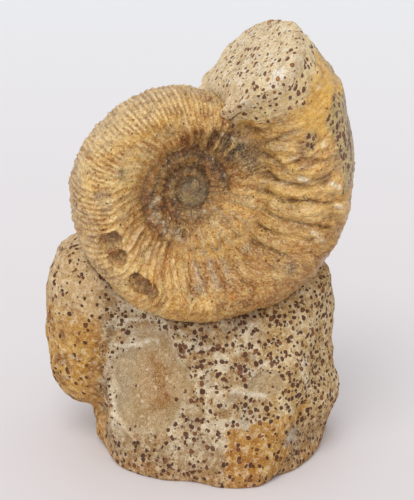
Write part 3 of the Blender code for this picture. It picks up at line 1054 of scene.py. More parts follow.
FLANK_MARKS = (
    # The folds beside the mouth: the dark paint along their grooves is painted shade.
    *(Mark(path, 1.0, -0.6, (160, 122, 70), 0.55) for path in FOLDS),
    *(Mark(path, 0.42, -0.5, (116, 82, 44), 0.6) for path in FOLDS),
    Mark(((77, 14.5), (79, 21.5)), 0.9, 0.9, (204, 166, 112)),
    Mark(((64, 14.5), (66, 20.5)), 0.8, 0.8, (212, 172, 118)),
    Mark(((57, 15), (60, 17.6)), 0.8, 0.8, (196, 156, 106)),
    Mark(((48, 16.5), (50, 20.5)), 0.7, 0.6, (196, 168, 128)),
    # Orange-brown grooves between the pale ridges above the umbilicus: their darkness is partly the shell's
    # own tone, partly painted shade.
    Mark(((71, 15.5), (72, 20)), 1.2, -0.9, (118, 74, 36)),
    Mark(((86, 15), (87, 20)), 1.4, -0.7, (134, 82, 38)),
    Mark(((98, 14), (100, 19)), 1.3, -0.5, (150, 92, 42)),
    Mark(((38.2, 18.7), (29.8, 19.6), (21.6, 20.7)), 2.2, -0.4, (126, 102, 74), 0.65),
    Mark(((58.2, 19.2), (56.8, 21.6)), 1.3, -0.8, (98, 86, 78), 0.8),
    Mark(((43.3, 15.6), (46, 18.3), (46.5, 21)), 1.0, -0.9, (84, 74, 70), 0.85),
    Mark(((55.4, 20.8), (48.8, 22), (43, 22.9)), 0.5, 0.5, (212, 194, 170), 0.8),
    Mark(((41, 23.2),), 0.6, -0.4, (50, 38, 28)),
    Mark(((47.6, 27.9),), 0.6, -0.4, (60, 44, 28)),
    Mark(((35.5, 25.1), (35.7, 29.5), (36, 34)), 0.7, -0.6, (138, 98, 46), 0.8),
    Mark(((20.9, 28.6), (21.2, 30.6), (22.1, 32.5)), 0.7, 0.5, (226, 210, 194), 0.75),
    Mark(((14.1, 28.8), (14.6, 31.3), (16, 33.4)), 0.8, 0.5, (216, 198, 174), 0.7),
    Mark(((14.7, 17.6), (16.7, 20), (10.3, 24.7)), 0.6, -0.4, (134, 94, 52), 0.7),
    Mark(((6.4, 21.8), (5.7, 25.3), (7.7, 29)), 0.8, 0.4, (206, 186, 160), 0.6),
    Mark(((352.9, 23.4), (356.6, 26.7), (359.1, 30.3)), 0.8, 0.5, (228, 196, 140), 0.6),
    Mark(((72, 18.8), (61.5, 21.6), (55, 24.4), (45.5, 27), (42.3, 29.5)), 1.3, -1.0, (124, 86, 42)),
    Mark(((60, 26.3), (56, 29.1), (52.5, 32.5)), 1.4, 0.3, (218, 176, 88), 0.85),
    Mark(((45, 25), (43.1, 27), (41.1, 30.3), (38.9, 35.1)), 1.6, 0.7, (214, 166, 90), 0.6),
    Mark(((27, 28), (15, 31), (12, 36)), 1.7, 0.8, (228, 188, 116), 0.7),
    Mark(((15.3, 33.5), (17.4, 37.2), (16.5, 41.5)), 0.9, -0.6, (164, 122, 70), 0.7),
    Mark(((4, 23.5), (359.5, 29), (1.5, 34), (3, 40)), 1.3, 0.7, (232, 196, 128), 0.7),
    Mark(((351, 25), (348, 30), (350.5, 38)), 1.8, 0.6, (222, 192, 138), 0.7),
    Mark(((27.6, 35.2), (22.3, 34.3), (18.4, 34.6)), 1.1, -0.6, (140, 88, 38), 0.8),
    # White specks on the right flank: bare white calcite, painted brighter as glints.
    Mark(((9, 32.2), (8.4, 33.2)), 1.0, 0.2, (252, 248, 240), 0.9),
    Mark(((341.5, 37), (338.5, 41)), 0.8, 0.1, (240, 226, 204), 0.8),
    Mark(((5.8, 40.6), (4.6, 41.6)), 0.7, 0.2, (252, 250, 246)),
    Mark(((4.6, 42.4), (3, 42.9)), 0.5, 0.2, (248, 246, 240)),
    Mark(((355.8, 42.4), (354.2, 43.6)), 0.6, 0.2, (250, 248, 244)),
    Mark(((23.4, 40.9),), 0.6, 0.1, (252, 246, 234)),
    Mark(((48.4, 15.2), (50.6, 18.1), (51.2, 20.7)), 0.7, 0.7, (176, 138, 88), 0.8),
    Mark(((60, 16), (56, 18.5)), 1.0, -0.5, (110, 80, 48), 0.7),
    Mark(((154, 31), (142.6, 29.2), (122.9, 26), (109.5, 26.7), (101.9, 26)), 1.5, 0.5,
         (226, 182, 98), 0.6),
    Mark(((207.1, 20), (208.5, 22), (210.7, 27.3)), 0.7, 0.7, (236, 208, 176)),
    Mark(((219.6, 20.5), (216.9, 25.4), (218, 27.3)), 0.7, 0.6, (230, 198, 158)),
    Mark(((229.7, 19.6), (226.1, 22), (227, 25.1)), 0.8, 0.6, (228, 196, 158)),
    Mark(((238.2, 16.6), (237.2, 21.3), (234.3, 25.3)), 0.8, 0.6, (230, 198, 152)),
    Mark(((248, 19), (246, 27)), 0.8, 0.4, (222, 186, 136), 0.7),
    Mark(((258.5, 22), (258, 28.5)), 1.1, 0.3, (216, 184, 140), 0.7),
    Mark(((268.3, 22.5), (268, 28.5)), 1.3, 0.4, (196, 172, 156)),
    Mark(((279.5, 22.1), (279.6, 28.7)), 1.3, 0.4, (192, 168, 150)),
    Mark(((290.1, 23.3), (288.6, 28.6)), 1.3, 0.3, (190, 166, 140), 0.8),
    Mark(((263.1, 21.4), (262.9, 29.1)), 0.6, -0.5, (186, 124, 56), 0.8),
    Mark(((275.2, 21.7), (273.7, 28.7)), 0.6, -0.5, (178, 116, 50), 0.8),
    Mark(((284.3, 23.1), (285.1, 30.9)), 0.6, -0.6, (168, 106, 42), 0.85),
    Mark(((242, 20), (240.5, 27)), 0.6, -0.4, (196, 128, 56), 0.7),
    Mark(((311.6, 23.4),), 1.4, 0.0, (176, 160, 140), 0.7),
    Mark(((319.6, 36.5),), 2.3, -0.2, (156, 134, 112), 0.85),
    Mark(((312.6, 34.6),), 1.8, 0.1, (220, 194, 146), 0.8),
    Mark(((285.9, 33.2),), 1.0, 0.0, (216, 132, 36), 0.75),
    Mark(((188, 7.3), (147.6, 6.9), (111.1, 6.8), (70.8, 6.6), (26, 6.1), (336, 6.2), (290, 6.6),
          (235, 7.2), (190, 7.4)), 0.55, -0.5, (100, 72, 44), 0.6),
    Mark(((215, 14.6), (191, 13.6), (144.5, 12.7), (120.3, 12.6), (91.7, 12.3), (62.3, 11.9), (30.8, 11),
          (357.8, 10.8)), 0.6, -0.5, (92, 66, 42), 0.6),
    Mark(((336, 24.5), (334, 31), (338, 35)), 1.4, 0.5, (224, 188, 124), 0.6),
    Mark(((324, 24.5), (327, 31)), 1.4, 0.5, (216, 184, 130), 0.6),
    Mark(((300, 21), (299, 29)), 1.4, 0.4, (222, 188, 130), 0.6),
    Mark(((306, 22), (307, 30)), 0.6, -0.5, (170, 116, 56), 0.7),
    Mark(((188, 10.9), (191, 12.6)), 0.8, 0.3, (204, 192, 178), 0.6),
    Mark(((203, 13.8), (206, 15.6)), 0.8, 0.3, (196, 184, 176), 0.6),
    Mark(((213, 13), (215, 15.4)), 0.5, 0.3, (206, 196, 188), 0.6),
    Mark(((227, 13.2), (229, 15.6)), 0.9, 0.3, (186, 172, 164), 0.6),
    Mark(((246, 13.4), (249, 15.2)), 0.9, 0.2, (200, 186, 172), 0.5),
    Mark(((262, 7.6), (285, 8.2), (306, 8.9)), 1.0, 0.3, (172, 158, 138), 0.55),
    Mark(((318, 9.8), (322, 11.2)), 0.7, 0.2, (198, 182, 160), 0.5),
    *(Mark((place,), 0.42, 0.2, (240, 232, 222), 0.9) for place in CRYSTALS),
    Mark(((196, 9), (201, 11.8)), 0.9, -0.2, (150, 84, 36), 0.6),
    Mark(((165, 9.5), (158, 10.5)), 0.8, -0.2, (152, 88, 38), 0.5),
    Mark(((345, 9.4), (355, 9.2)), 0.7, -0.2, (156, 88, 38), 0.5),
    Mark(((52.5, 51), (50.5, 53.5)), 1.3, 0.2, (250, 246, 238), 0.8),
    Mark(((47.5, 47),), 0.8, 0.0, (216, 140, 60), 0.7),
    Mark(((44, 50),), 0.7, 0.0, (250, 242, 226), 0.8),
    Mark(((175, 31.1),), 1.4, 0.0, (150, 128, 114), 0.8),
    Mark(((159, 25.9),), 1.8, 0.0, (170, 150, 124), 0.7),
)


@dataclass(frozen=True)
class ShellPlaces:
    """Where points lie on the shell, and the noises there that its tints share.

    rib and s are places along and across the spiral, and t is s folded onto one
    flank. flat is the place on the plain form, whose x and z lie over the flank;
    near and azimuth are the same in polar form, and angle is along the spiral.
    groove is 1 between the ribs, and folds is 1 where broad folds replace them.
    """

    rib: Array
    s: Array
    t: Array
    flat: Array
    x: Array
    z: Array
    near: Array
    azimuth: Array
    angle: Array
    groove: Array
    folds: Array
    drift: Array
    broad: Array
    fine: Array
    streak: Array
    blotch: Array


@dataclass
class AmmoniteShell:
    """The coiled shell as one closed mesh, with ribs, tubercles, scars and pits.

    Rows, columns and rings are counts of points. fold_pace and inner_pace are
    crests to a rib, of the folds beside the mouth and of the inner whorls. The
    heights and depths of the relief are metres. pinholes are polar places over
    the flank, and pits are (rib, t, half sizes).
    """

    spiral: Spiral
    wear: Wear = Wear()
    fold_pace: float = 0.6
    inner_pace: float = 0.45
    knob_t: float = 0.95
    knob_spread: float = 0.16
    wall_fade: float = 0.25
    crumple_height: float = 1.0 * MM
    streak_height: float = 0.32 * MM
    lump_height: float = 0.55 * MM
    grit_height: float = 0.5 * MM
    chip_size: float = 1.8 * MM
    chip_depth: float = 0.5 * MM
    layer_depth: float = 0.3 * MM
    bare_depth: float = 0.5 * MM
    lip_depth: float = 1.6 * MM
    dome_height: float = 0.0007
    dome_roughness: float = 0.0003
    dome_top: float = 0.0008
    pit_roughness: float = 0.3
    columns_per_rib: int = 18
    front_wall_rows: int = 24
    front_arch_rows: int = 18
    back_arch_rows: int = 12
    back_wall_rows: int = 12
    inner_front: tuple[tuple[int, int], ...] = ((720, 14), (420, 10), (240, 6))
    inner_back: tuple[tuple[int, int], ...] = ((300, 8), (180, 6), (120, 4))
    hub_rings: tuple[int, ...] = (120, 60, 24)
    seam_groove: float = 0.0008
    pinholes: tuple[Pair, ...] = ((145.3, 30.0), (162.9, 32.4), (170.7, 32.6), (182.8, 29.0))
    pits: tuple[tuple[float, float, Triple], ...] = (
        (22.05, 1.125, (0.0035, 0.0035, 0.0023)),
        (23.65, 1.13, (0.0032, 0.0032, 0.0024)),
        (26.8, 1.09, (0.0035, 0.0028, 0.0023)),
        (27.9, 1.05, (0.0031, 0.0024, 0.0019)),
    )

    def ribbing(self, rib: Array, s: Array) -> tuple[Array, Array]:
        """Ribs, tubercles and forked ribs.

        Args:
            rib: Places along the spiral, in ribs.
            s: Places across the whorl.

        Returns:
            Their height as a share of the local radius, and how deep in a groove each place is, 0 to 1.
        """
        form, wear = self.spiral, self.wear
        t = form.fold(s)
        angle = form.seam_angle(rib)
        folds = wear.at("folds", angle)
        place = np.stack([rib * 0.35, s * 1.4, np.zeros_like(rib)], axis=-1).reshape(-1, 3)
        wander = fractal(place, 1.0, 3, 5).reshape(rib.shape) * ramp(t, -0.2, 0.5) * (0.38 + 0.35 * folds)
        patchy = fractal(place * np.array((1.4, 2.0, 1.0)), 1.0, 3, 9).reshape(rib.shape)
        strength = np.clip(0.9 + 1.6 * patchy, 0.05, 1.6)
        phase = rib + wander
        wave = crests(phase) ** wear.at("narrow", angle)
        wave = wave + (crests(self.fold_pace * phase + 0.1) - wave) * folds
        wave = wave + (crests(self.inner_pace * phase) ** 0.8 - wave) * ramp(-rib, 0.0, 8.0)
        forks = crests(phase * form.forks_per_rib + 0.15) ** 0.7
        end = wear.at("wall_end", angle)
        on_wall = ramp(t, -0.4, 0.4) * (1.0 - ramp(t, end, end + self.wall_fade))
        on_wall = on_wall * wear.at("wall_ribs", angle) * strength
        knob = np.exp(-(((t - self.knob_t) / self.knob_spread) ** 2)) * (1.0 - folds)
        on_arch = ramp(t, 1.0, 1.2) * wear.at("forks", angle) * np.clip(strength, 0.5, 1.2)
        height = form.rib_height * wave * on_wall * (1.0 + 0.6 * wave * knob)
        height = height + form.fork_height * forks * on_arch
        groove = (1.0 - wave) * np.minimum(on_wall, 1.0) + (1.0 - forks) * np.minimum(on_arch, 1.0) * 0.85
        return height, np.clip(groove, 0.0, 1.0)

    def relief(self, rib: Array, s: Array) -> Array:
        """Height of the surface above the plain form.

        Args:
            rib: Places along the spiral, in ribs.
            s: Places across the whorl.

        Returns:
            The height in metres.
        """
        form, shape = self.spiral, rib.shape
        t = form.fold(s)
        angle = form.seam_angle(rib)
        flat = form.point(rib, s, np.zeros_like(rib)).reshape(-1, 3)
        scale = form.radius(angle)
        along = np.stack([rib * 0.8, s * 1.3, 0.0 * rib], axis=-1).reshape(-1, 3)
        crumple = fractal(along, 1.0, 3, 15).reshape(shape) * self.wear.at("folds", angle)
        streaks = fractal(along * (4.0, 1.4, 1.0), 1.0, 3, 16).reshape(shape)
        height = self.ribbing(rib, s)[0] * scale + self.streak_height * streaks
        height = height + self.crumple_height * crumple * window(t, 0.2, 1.4, 0.4)
        lumps = self.lump_height * fractal(flat, 9.0 * MM, 2, 21)
        lumps = lumps + self.grit_height * fractal(flat, 3.2 * MM, 4, 31)
        distance, own = cells(flat, self.chip_size, 41)
        chips = self.chip_depth * (own < 0.26) * (1.0 - ramp(distance, 0.25, 0.6))
        layer = ramp(fractal(flat, 7.0 * MM, 3, 51), 0.12, 0.18).reshape(shape)
        rough = (lumps - chips).reshape(shape) - self.layer_depth * layer
        height = height * (1.0 - 0.45 * layer) + rough * np.clip(scale / 0.028, 0.45, 1.0)
        seam = 1.0 - ramp(t, 0.0, 0.16)
        inner = (rib < 0.0) * ramp(t, form.seam_t - 0.12, form.seam_t)
        height = height - self.seam_groove * np.maximum(seam, inner * 0.6)
        worn = self.bare_strip(flat, s.ravel(), fractal(flat, 6.0 * MM, 3, 61)).reshape(shape)
        height = height * (1.0 - 0.75 * worn) - self.bare_depth * worn
        wobble = 0.5 * MM * fractal(flat, 2.0 * MM, 2, 57)
        x, z = flat[:, 0] + wobble, flat[:, 2] - wobble
        marked = sum(mark.rise * MM * mark.reach(x, z) for mark in FLANK_MARKS).reshape(shape)
        worn_lip = ramp(rib, 55.5, 59.5) * window(s, 2.15, 3.0, 0.4)
        return height + marked * (s <= 2.0) - self.lip_depth * worn_lip

    def surface(self, rib: Array, s: Array) -> Array:
        """Finished points of the shell, where it stands."""
        form = self.spiral
        return form.placed(form.point(rib, s, self.relief(rib, s)).reshape(-1, 3)).reshape(*rib.shape, 3)

    @staticmethod
    def bare_strip(flat: Array, s: Array, drift: Array) -> Array:
        """Where the shell is worn off the right margin.

        Args:
            flat: Places in the shell's own frame, (n, 3).
            s: Their places across the whorl.
            drift: Noise that makes the edge uneven.

        Returns:
            How worn each place is, 0 to 1.
        """
        azimuth = np.degrees(np.arctan2(flat[:, 2], flat[:, 0]))
        near = np.hypot(flat[:, 0], flat[:, 2])
        turned = ramp(s, 1.65, 2.0)
        back_edge = 1.0 - ramp(s + 1.0 * drift, 2.02, 2.22)
        far_out = ramp(near + 1.6 * MM * drift, 44.2 * MM, 45.4 * MM) * back_edge
        return window(azimuth + (5.0 + 26.0 * turned) * drift, 1.0, 34.0, 2.0) * far_out

    def places(self, rib: Array, s: Array) -> ShellPlaces:
        """Works out what the tints of the shell depend on.

        Args:
            rib: Places along the spiral, in ribs, (n,).
            s: Places across the whorl.

        Returns:
            Where the points lie, and the noises there.
        """
        form = self.spiral
        t = form.fold(s)
        flat = form.point(rib, s, np.zeros_like(rib))
        x, z = flat[:, 0], flat[:, 2]
        angle = form.swung(form.seam_angle(rib), t)
        return ShellPlaces(
            rib=rib,
            s=s,
            t=t,
            flat=flat,
            x=x,
            z=z,
            near=np.hypot(x, z),
            azimuth=np.degrees(np.arctan2(z, x)) % 360.0,
            angle=angle,
            groove=self.ribbing(rib, s)[1],
            folds=self.wear.at("folds", angle),
            drift=fractal(flat, 6.0 * MM, 3, 61),
            broad=fractal(flat, 8.0 * MM, 3, 62),
            fine=fractal(flat, 2.4 * MM, 3, 63),
            streak=fractal(np.stack([rib * 2.2, s * 1.6, 0.0 * s], axis=1), 1.0, 3, 64),
            blotch=fractal(flat, 4.2 * MM, 3, 65),
        )

    def paint(self, rib: Array, s: Array) -> tuple[Paint, dict[str, Array]]:
        """Colours the shell.

        Args:
            rib: Places along the spiral, in ribs, (n,).
            s: Places across the whorl.

        Returns:
            The paint, and the values that the finish reads beside it.
        """
        at = self.places(rib, s)
        t, fine, front = at.t, at.fine, s <= 2.0
        paint = Paint(len(rib), (222, 182, 114))
        yellow = self._paint_whorls(paint, at, self.wear)
        deep, hub = self._paint_umbilicus(paint, at, self.spiral.seam_t)
        wobble = 0.5 * MM * fractal(at.flat, 2.0 * MM, 2, 57)
        for mark in FLANK_MARKS:
            paint.lay(mark.colour, mark.reach(at.x + wobble, at.z - wobble) * mark.cover * 1.15 * front)
        bare = self.bare_strip(at.flat, s, at.drift)
        nest = (stroke(at.x, at.z, polar((30.5, 39.0), (26.5, 37.5)), 2.1 * MM) + 0.4 * fine) * front
        paint.lay((186, 170, 128), np.maximum(bare, ramp(nest, 0.3, 0.65) * 0.7) * 0.9)
        lip = ramp(rib + 0.75 * at.drift + 0.35 * fine + 0.5 * window(t, 0.3, 1.3, 0.3), 58.7, 59.5)
        paint.lay((230, 214, 180), lip * 0.95)
        holes = [stroke(at.x, at.z, polar((a, r), (a + 1.0, r)), 2.4 * MM) for a, r in self.pinholes]
        specks = window(at.angle, 130.0, 215.0, 12.0) * window(t, 0.9, 1.7, 0.2) * ramp(at.blotch, 0.0, 0.25)
        specks = np.maximum(specks, np.max(holes, axis=0) * front)
        inner_seam = (rib < 0.0) * ramp(t, self.spiral.seam_t - 0.2, self.spiral.seam_t - 0.1)
        calm = np.maximum(0.5 * at.folds * window(t, 0.5, 1.6, 0.3), 0.5 * hub)
        values = {
            "bare": np.maximum(np.maximum(bare, 1.1 * ramp(nest, 0.45, 0.7)), lip * 0.55),
            "gloss": np.maximum(deep, 0.55 * at.folds * (t < 1.4)) * (1.0 - 0.7 * hub),
            "specks": 0.9 * specks + (0.22 + 0.3 * ramp(fine, 0.0, 0.3)) * (1.0 - lip),
            "calm": np.maximum(calm, 0.9 * yellow),
            "rib_place": (rib + 180.0) / 240.0,
            "row_place": s / 4.0,
            "streaky": ramp(t, 0.02, 0.12) * (1.0 - inner_seam),
        }
        return paint, values

    @staticmethod
    def _paint_whorls(paint: Paint, at: ShellPlaces, wear: Wear) -> Array:
        """Lays the ochres, creams and browns of the whorls, with painted shade in the grooves of the ribs and
        of the folds.

        Args:
            paint: What they are laid on.
            at: Where its points lie.
            wear: How pale the shell is along the spiral.

        Returns:
            Where the smooth yellow shell beside the mouth is, 0 to 1.
        """
        t, drift, blotch, folds, groove = at.t, at.drift, at.blotch, at.folds, at.groove
        crest = 1.0 - groove
        strands = fractal(np.stack([at.rib * 2.6, at.s * 2.2, 0.0 * at.s + 3.0], axis=1), 1.0, 3, 68)
        paint.lay((228, 174, 78), ramp(at.broad, -0.2, 0.3) * 0.85)
        paint.lay((186, 160, 116), ramp(blotch, 0.06, 0.28) * 0.6)
        paint.lay((194, 164, 108), ramp(t + 0.3 * drift, 1.4, 1.75) * 0.8)
        paint.lay((208, 136, 44), ramp(at.fine, 0.16, 0.4) * 0.5)
        paint.lay((246, 214, 142), ramp(strands, 0.12, 0.4) * (t < 1.7) * 0.6)
        lower = window(at.azimuth, 285.0, 338.0, 14.0) * ramp(at.near, 19.0 * MM, 25.0 * MM)
        paint.lay((164, 114, 26), lower * (0.8 + 0.5 * drift))
        upper = window(at.azimuth, 106.0, 146.0, 10.0) * ramp(at.near, 24.0 * MM, 30.0 * MM) * (at.s <= 2.0)
        paint.lay((238, 222, 194), upper * (0.72 + 0.5 * drift))
        pale = wear.at("pale", at.angle) * ramp(at.streak, -0.45, 0.15)
        paint.lay((248, 226, 180), crest * pale * 0.85)
        paint.lay((184, 164, 144), ramp(blotch, 0.22, 0.38) * crest * 0.5)
        # Golden-brown in the rib grooves: partly the shell's own tone, partly painted shade.
        arch = ramp(t, 0.95, 1.15) * (1.0 - folds)
        groove_tone_and_shade = groove * ramp(drift, -0.6, 0.2) * (0.55 + 0.35 * arch - 0.2 * folds)
        paint.lay((170, 112, 42), groove_tone_and_shade * 1.1)
        # Painted shade in the grooves of the folds beside the mouth.
        paint.lay((150, 118, 72), groove * folds * ramp(t, 0.2, 0.6) * 0.6)
        paint.lay((176, 120, 32), lower * (0.45 + 0.5 * blotch))
        hairline = 1.0 - ramp(np.abs(strands + 0.12), 0.03, 0.1)
        paint.lay((176, 108, 42), hairline * ramp(blotch, -0.15, 0.2) * (t < 1.8) * 0.55)
        yellow = window(at.angle, 391.0, 416.0, 8.0) * window(t, 0.75, 1.6, 0.25)
        paint.lay((226, 182, 90), yellow * (0.75 + 0.5 * at.streak))
        paint.lay((190, 166, 114), window(at.angle, 388.0, 425.0, 8.0) * ramp(t, 1.5, 1.7) * 0.8)
        return yellow

    @staticmethod
    def _paint_umbilicus(paint: Paint, at: ShellPlaces, seam_t: float) -> tuple[Array, Array]:
        """Lays the dark crystalline tints of the umbilicus, its seams and its hub, with painted shade between
        its ribs and a painted shadow under the shoulder at its upper right.

        Args:
            paint: What they are laid on.
            at: Where its points lie.
            seam_t: Where the next whorl's seam lies on a whorl.

        Returns:
            How deep in the umbilicus each point is, and where the hub is, 0 to 1.
        """
        near, drift, broad, blotch = at.near, at.drift, at.broad, at.blotch
        turn = np.radians(at.azimuth)
        edge = 13.3 + 2.1 * np.sin(turn + 0.2) - 2.2 * np.cos(turn)
        edge = (edge + 3.2 * np.cos(2.0 * (turn - math.radians(50.0)))) * MM
        deep = 1.0 - ramp(near / edge + 0.42 * drift, 0.8, 1.25)
        paint.lay((188, 126, 54), (1.0 - ramp(near / edge + 0.4 * blotch, 1.1, 1.7)) * 0.6)
        paint.lay((168, 116, 54), deep * 0.92)
        paint.lay((170, 104, 40), deep * ramp(blotch, -0.02, 0.25) * 0.7)
        paint.lay((142, 112, 70), deep * ramp(broad, 0.0, 0.3) * 0.5)
        small = fractal(at.flat, 1.5 * MM, 3, 66)
        paint.lay((76, 52, 32), deep * ramp(small, 0.12, 0.28) * 0.75)
        paint.lay((212, 188, 150), deep * ramp(-small, 0.18, 0.32) * 0.65)
        # Darker between the ribs in the umbilicus: painted shade.
        paint.lay((88, 60, 34), deep * at.groove * 0.65)
        paint.lay((198, 160, 112), deep * (1.0 - at.groove) * ramp(broad, -0.3, 0.2) * 0.4)
        # Painted shadow under the shoulder, over the upper right of the umbilicus.
        painted_shadow = stroke(at.x, at.z, polar((66.0, 17.5), (47.0, 20.0), (32.0, 20.5)), 4.0 * MM) * (at.s <= 2.0)
        paint.lay((80, 52, 24), painted_shadow * (1.0 + 0.4 * drift))
        # Paler over the lower wall of the umbilicus.
        pale_lower_wall = window(at.azimuth, 268.0, 352.0, 12.0) * window(near, 12.5 * MM, 19.0 * MM, 2.0 * MM)
        paint.lay((204, 186, 158), pale_lower_wall * ramp(at.streak, -0.1, 0.25) * 0.7)
        inside = at.rib < 0.0
        hidden = window(at.azimuth, 235.0, 345.0, 25.0) * (near > 8.0 * MM)
        middle = np.hypot(at.x - 0.9 * MM, at.z + 0.7 * MM) + 0.9 * MM * drift
        hub = 1.0 - ramp(middle, 4.2 * MM, 5.2 * MM)
        seam = np.maximum(1.0 - ramp(at.t, 0.0, 0.1), inside * ramp(at.t, seam_t - 0.06, seam_t))
        seam = seam * (1.0 - 0.8 * hidden) * (1.0 - 0.8 * hub)
        paint.lay((96, 72, 46), seam * np.where(inside, 0.7, 0.4))
        paint.lay((138, 122, 102), hub * 0.85)
        paint.lay((116, 100, 72), hub * ramp(small, -0.05, 0.25) * 0.6)
        paint.lay((168, 154, 134), hub * (1.0 - ramp(middle, 0.5 * MM, 1.4 * MM)) * 0.35)
        return deep, hub

    def build(self) -> Piece:
        """Makes the shell.

        Returns:
            The piece, with the values that its finish reads.
        """
        form = self.spiral
        draft = MeshDraft()
        gathered: list[tuple[Array, Array]] = []

        def lay(ribs: Array, places: Array) -> Array:
            """Adds a grid of surface points and notes where on the shell they are.

            Args:
                ribs: The grid's places along the spiral.
                places: Its places across the whorl.

            Returns:
                The points' numbers, (places, ribs).
            """
            rib, s = np.meshgrid(ribs, places)
            gathered.append((rib.ravel(), s.ravel()))
            return draft.add(self.surface(rib, s))

        places = self._rows()
        seam_row = int(np.argmin(np.abs(places - form.seam_t)))
        back_row = int(np.argmin(np.abs(places - (4.0 - form.seam_t))))
        ribs = np.linspace(0.0, form.ribs_per_turn, form.ribs_per_turn * self.columns_per_rib + 1)
        outer = lay(ribs, places)
        outer[0, -1] = outer[seam_row, 0]
        outer[-1, -1] = outer[back_row, 0]
        draft.grid(outer)
        draft.zip(list(outer[:, -1]), list(outer[seam_row:back_row + 1, 0]))
        fronts = (list(outer[0]), list(outer[:seam_row + 1, 0]), self.inner_front, Side.FRONT)
        backs = (list(outer[-1]), list(outer[:back_row - 1:-1, 0]), self.inner_back, Side.BACK)
        for top, side, turns, facing in (fronts, backs):
            ring = self._inner_walls(draft, lay, top, side, turns, facing)
            self._hub(draft, gathered, ring, facing)
        piece = draft.to_object("fossil_ammonite")
        rib, s = (np.concatenate(parts) for parts in zip(*gathered))
        paint, values = self.paint(rib, s)
        paint.keep(piece)
        for name, numbers in values.items():
            store(piece, name, numbers)
        self._carve(piece)
        return piece

    def _rows(self) -> Array:
        """Spaces the rows across the last whorl, from the front seam over the venter to the back one.

        Returns:
            Their places, as s.
        """
        seam = self.spiral.seam_t
        ends = (0.0, seam, 2.0, 4.0 - seam, 4.0)
        counts = (self.front_wall_rows, self.front_arch_rows, self.back_arch_rows, self.back_wall_rows)
        parts = [np.linspace(low, high, count + 1)[1:] for low, high, count in zip(ends, ends[1:], counts)]
        return np.concatenate([[0.0], *parts])

    def _inner_walls(self, draft: MeshDraft, lay: Callable[[Array, Array], Array],
                     top: list[int], side: list[int], turns: tuple[tuple[int, int], ...],
                     facing: Side) -> list[int]:
        """Adds the walls of the inner whorls on one flank.

        Args:
            draft: The mesh.
            lay: Adds a grid of surface points.
            top: Point numbers along the outer whorl's seam.
            side: Point numbers across the outer whorl's start, from its seam outwards.
            turns: Columns and rows of each inner whorl, the outermost first.
            facing: Which flank it is.

        Returns:
            The point numbers round the hub.
        """
        form = self.spiral
        flip = facing is Side.BACK
        for number, (columns, rows) in enumerate(turns, 1):
            start = -form.ribs_per_turn * number
            ribs = np.linspace(start, start + form.ribs_per_turn, columns + 1)[:-1]
            across = np.linspace(0.0, form.seam_t, rows + 1)[:-1]
            wall = lay(ribs, 4.0 - across if flip else across)
            draft.grid(wall, flip)
            draft.zip([*wall[-1], side[-1]], top, flip)
            draft.zip([*wall[:, -1], side[-1]], side, not flip)
            top, side = [*wall[0], side[0]], [*wall[:, 0], top[0]]
        return top[:-1] + side[:0:-1]

    def _hub(self, draft: MeshDraft, gathered: list[tuple[Array, Array]], ring: list[int],
             facing: Side) -> None:
        """Closes the middle of one flank with a small rough dome.

        Args:
            draft: The mesh.
            gathered: Notes of where on the shell each point is.
            ring: The point numbers round the hub.
            facing: Which flank it is.
        """
        edge = np.concatenate(draft.points)[np.array(ring)]
        middle = edge.mean(axis=0)
        normal = self.spiral.turned @ np.array((0.0, -facing.value, 0.0))
        place = 0.0 if facing is Side.FRONT else 4.0
        rib = -self.spiral.ribs_per_turn * float(len(self.inner_front))
        before = ring
        for number, count in enumerate(self.hub_rings, 1):
            share = 1.0 - number / (len(self.hub_rings) + 1.0)
            picked = edge[(np.arange(count) * len(ring)) // count]
            uneven = self.dome_roughness * fractal(picked + share, 1.2 * MM, 2, 71)
            rise = self.dome_height * (1.0 - share**2) + uneven
            now = list(draft.add(middle + (picked - middle) * share + normal * rise[:, None]))
            gathered.append((np.full(count, rib), np.full(count, place)))
            draft.zip(before + before[:1], now + now[:1], facing is Side.FRONT)
            before = now
        top = int(draft.add((middle + normal * self.dome_top)[None, :])[0])
        gathered.append((np.array([rib]), np.array([place])))
        draft.faces.append(np.array([(one, two, top) for one, two in zip(before, before[1:] + before[:1])]))

    def _pit(self, number: int, rib: float, t: float, half_sizes: Triple) -> Piece:
        """Makes the lumpy shape that one pit is broken out with.

        Args:
            number: Which pit it is.
            rib: Its place along the spiral, in ribs.
            t: Its place across the whorl.
            half_sizes: Its half sizes along the spiral, across the whorl and inwards.

        Returns:
            The shape, which cuts the shell.
        """
        form = self.spiral
        around = self.surface(np.array([rib - 0.5, rib + 0.5, rib, rib]), np.array([t, t, t - 0.1, t + 0.1]))
        middle = form.placed(form.point(np.array([rib]), np.array([t]), np.array([-0.0002])))[0]
        along = Vector(around[1] - around[0]).normalized()
        inward = along.cross(Vector(around[3] - around[2])).normalized()
        mesh = bmesh.new()
        bmesh.ops.create_icosphere(mesh, subdivisions=4, radius=1.0)
        ball = np.array([v.co for v in mesh.verts])
        dents = 1.0 + self.pit_roughness * fractal(ball + number, 0.8, 3, 81)
        shape = ball * dents[:, None] * np.array(half_sizes)
        axes = np.array([along, inward.cross(along), inward])
        return shaped_piece(f"pit_{number}", mesh, middle + shape @ axes)

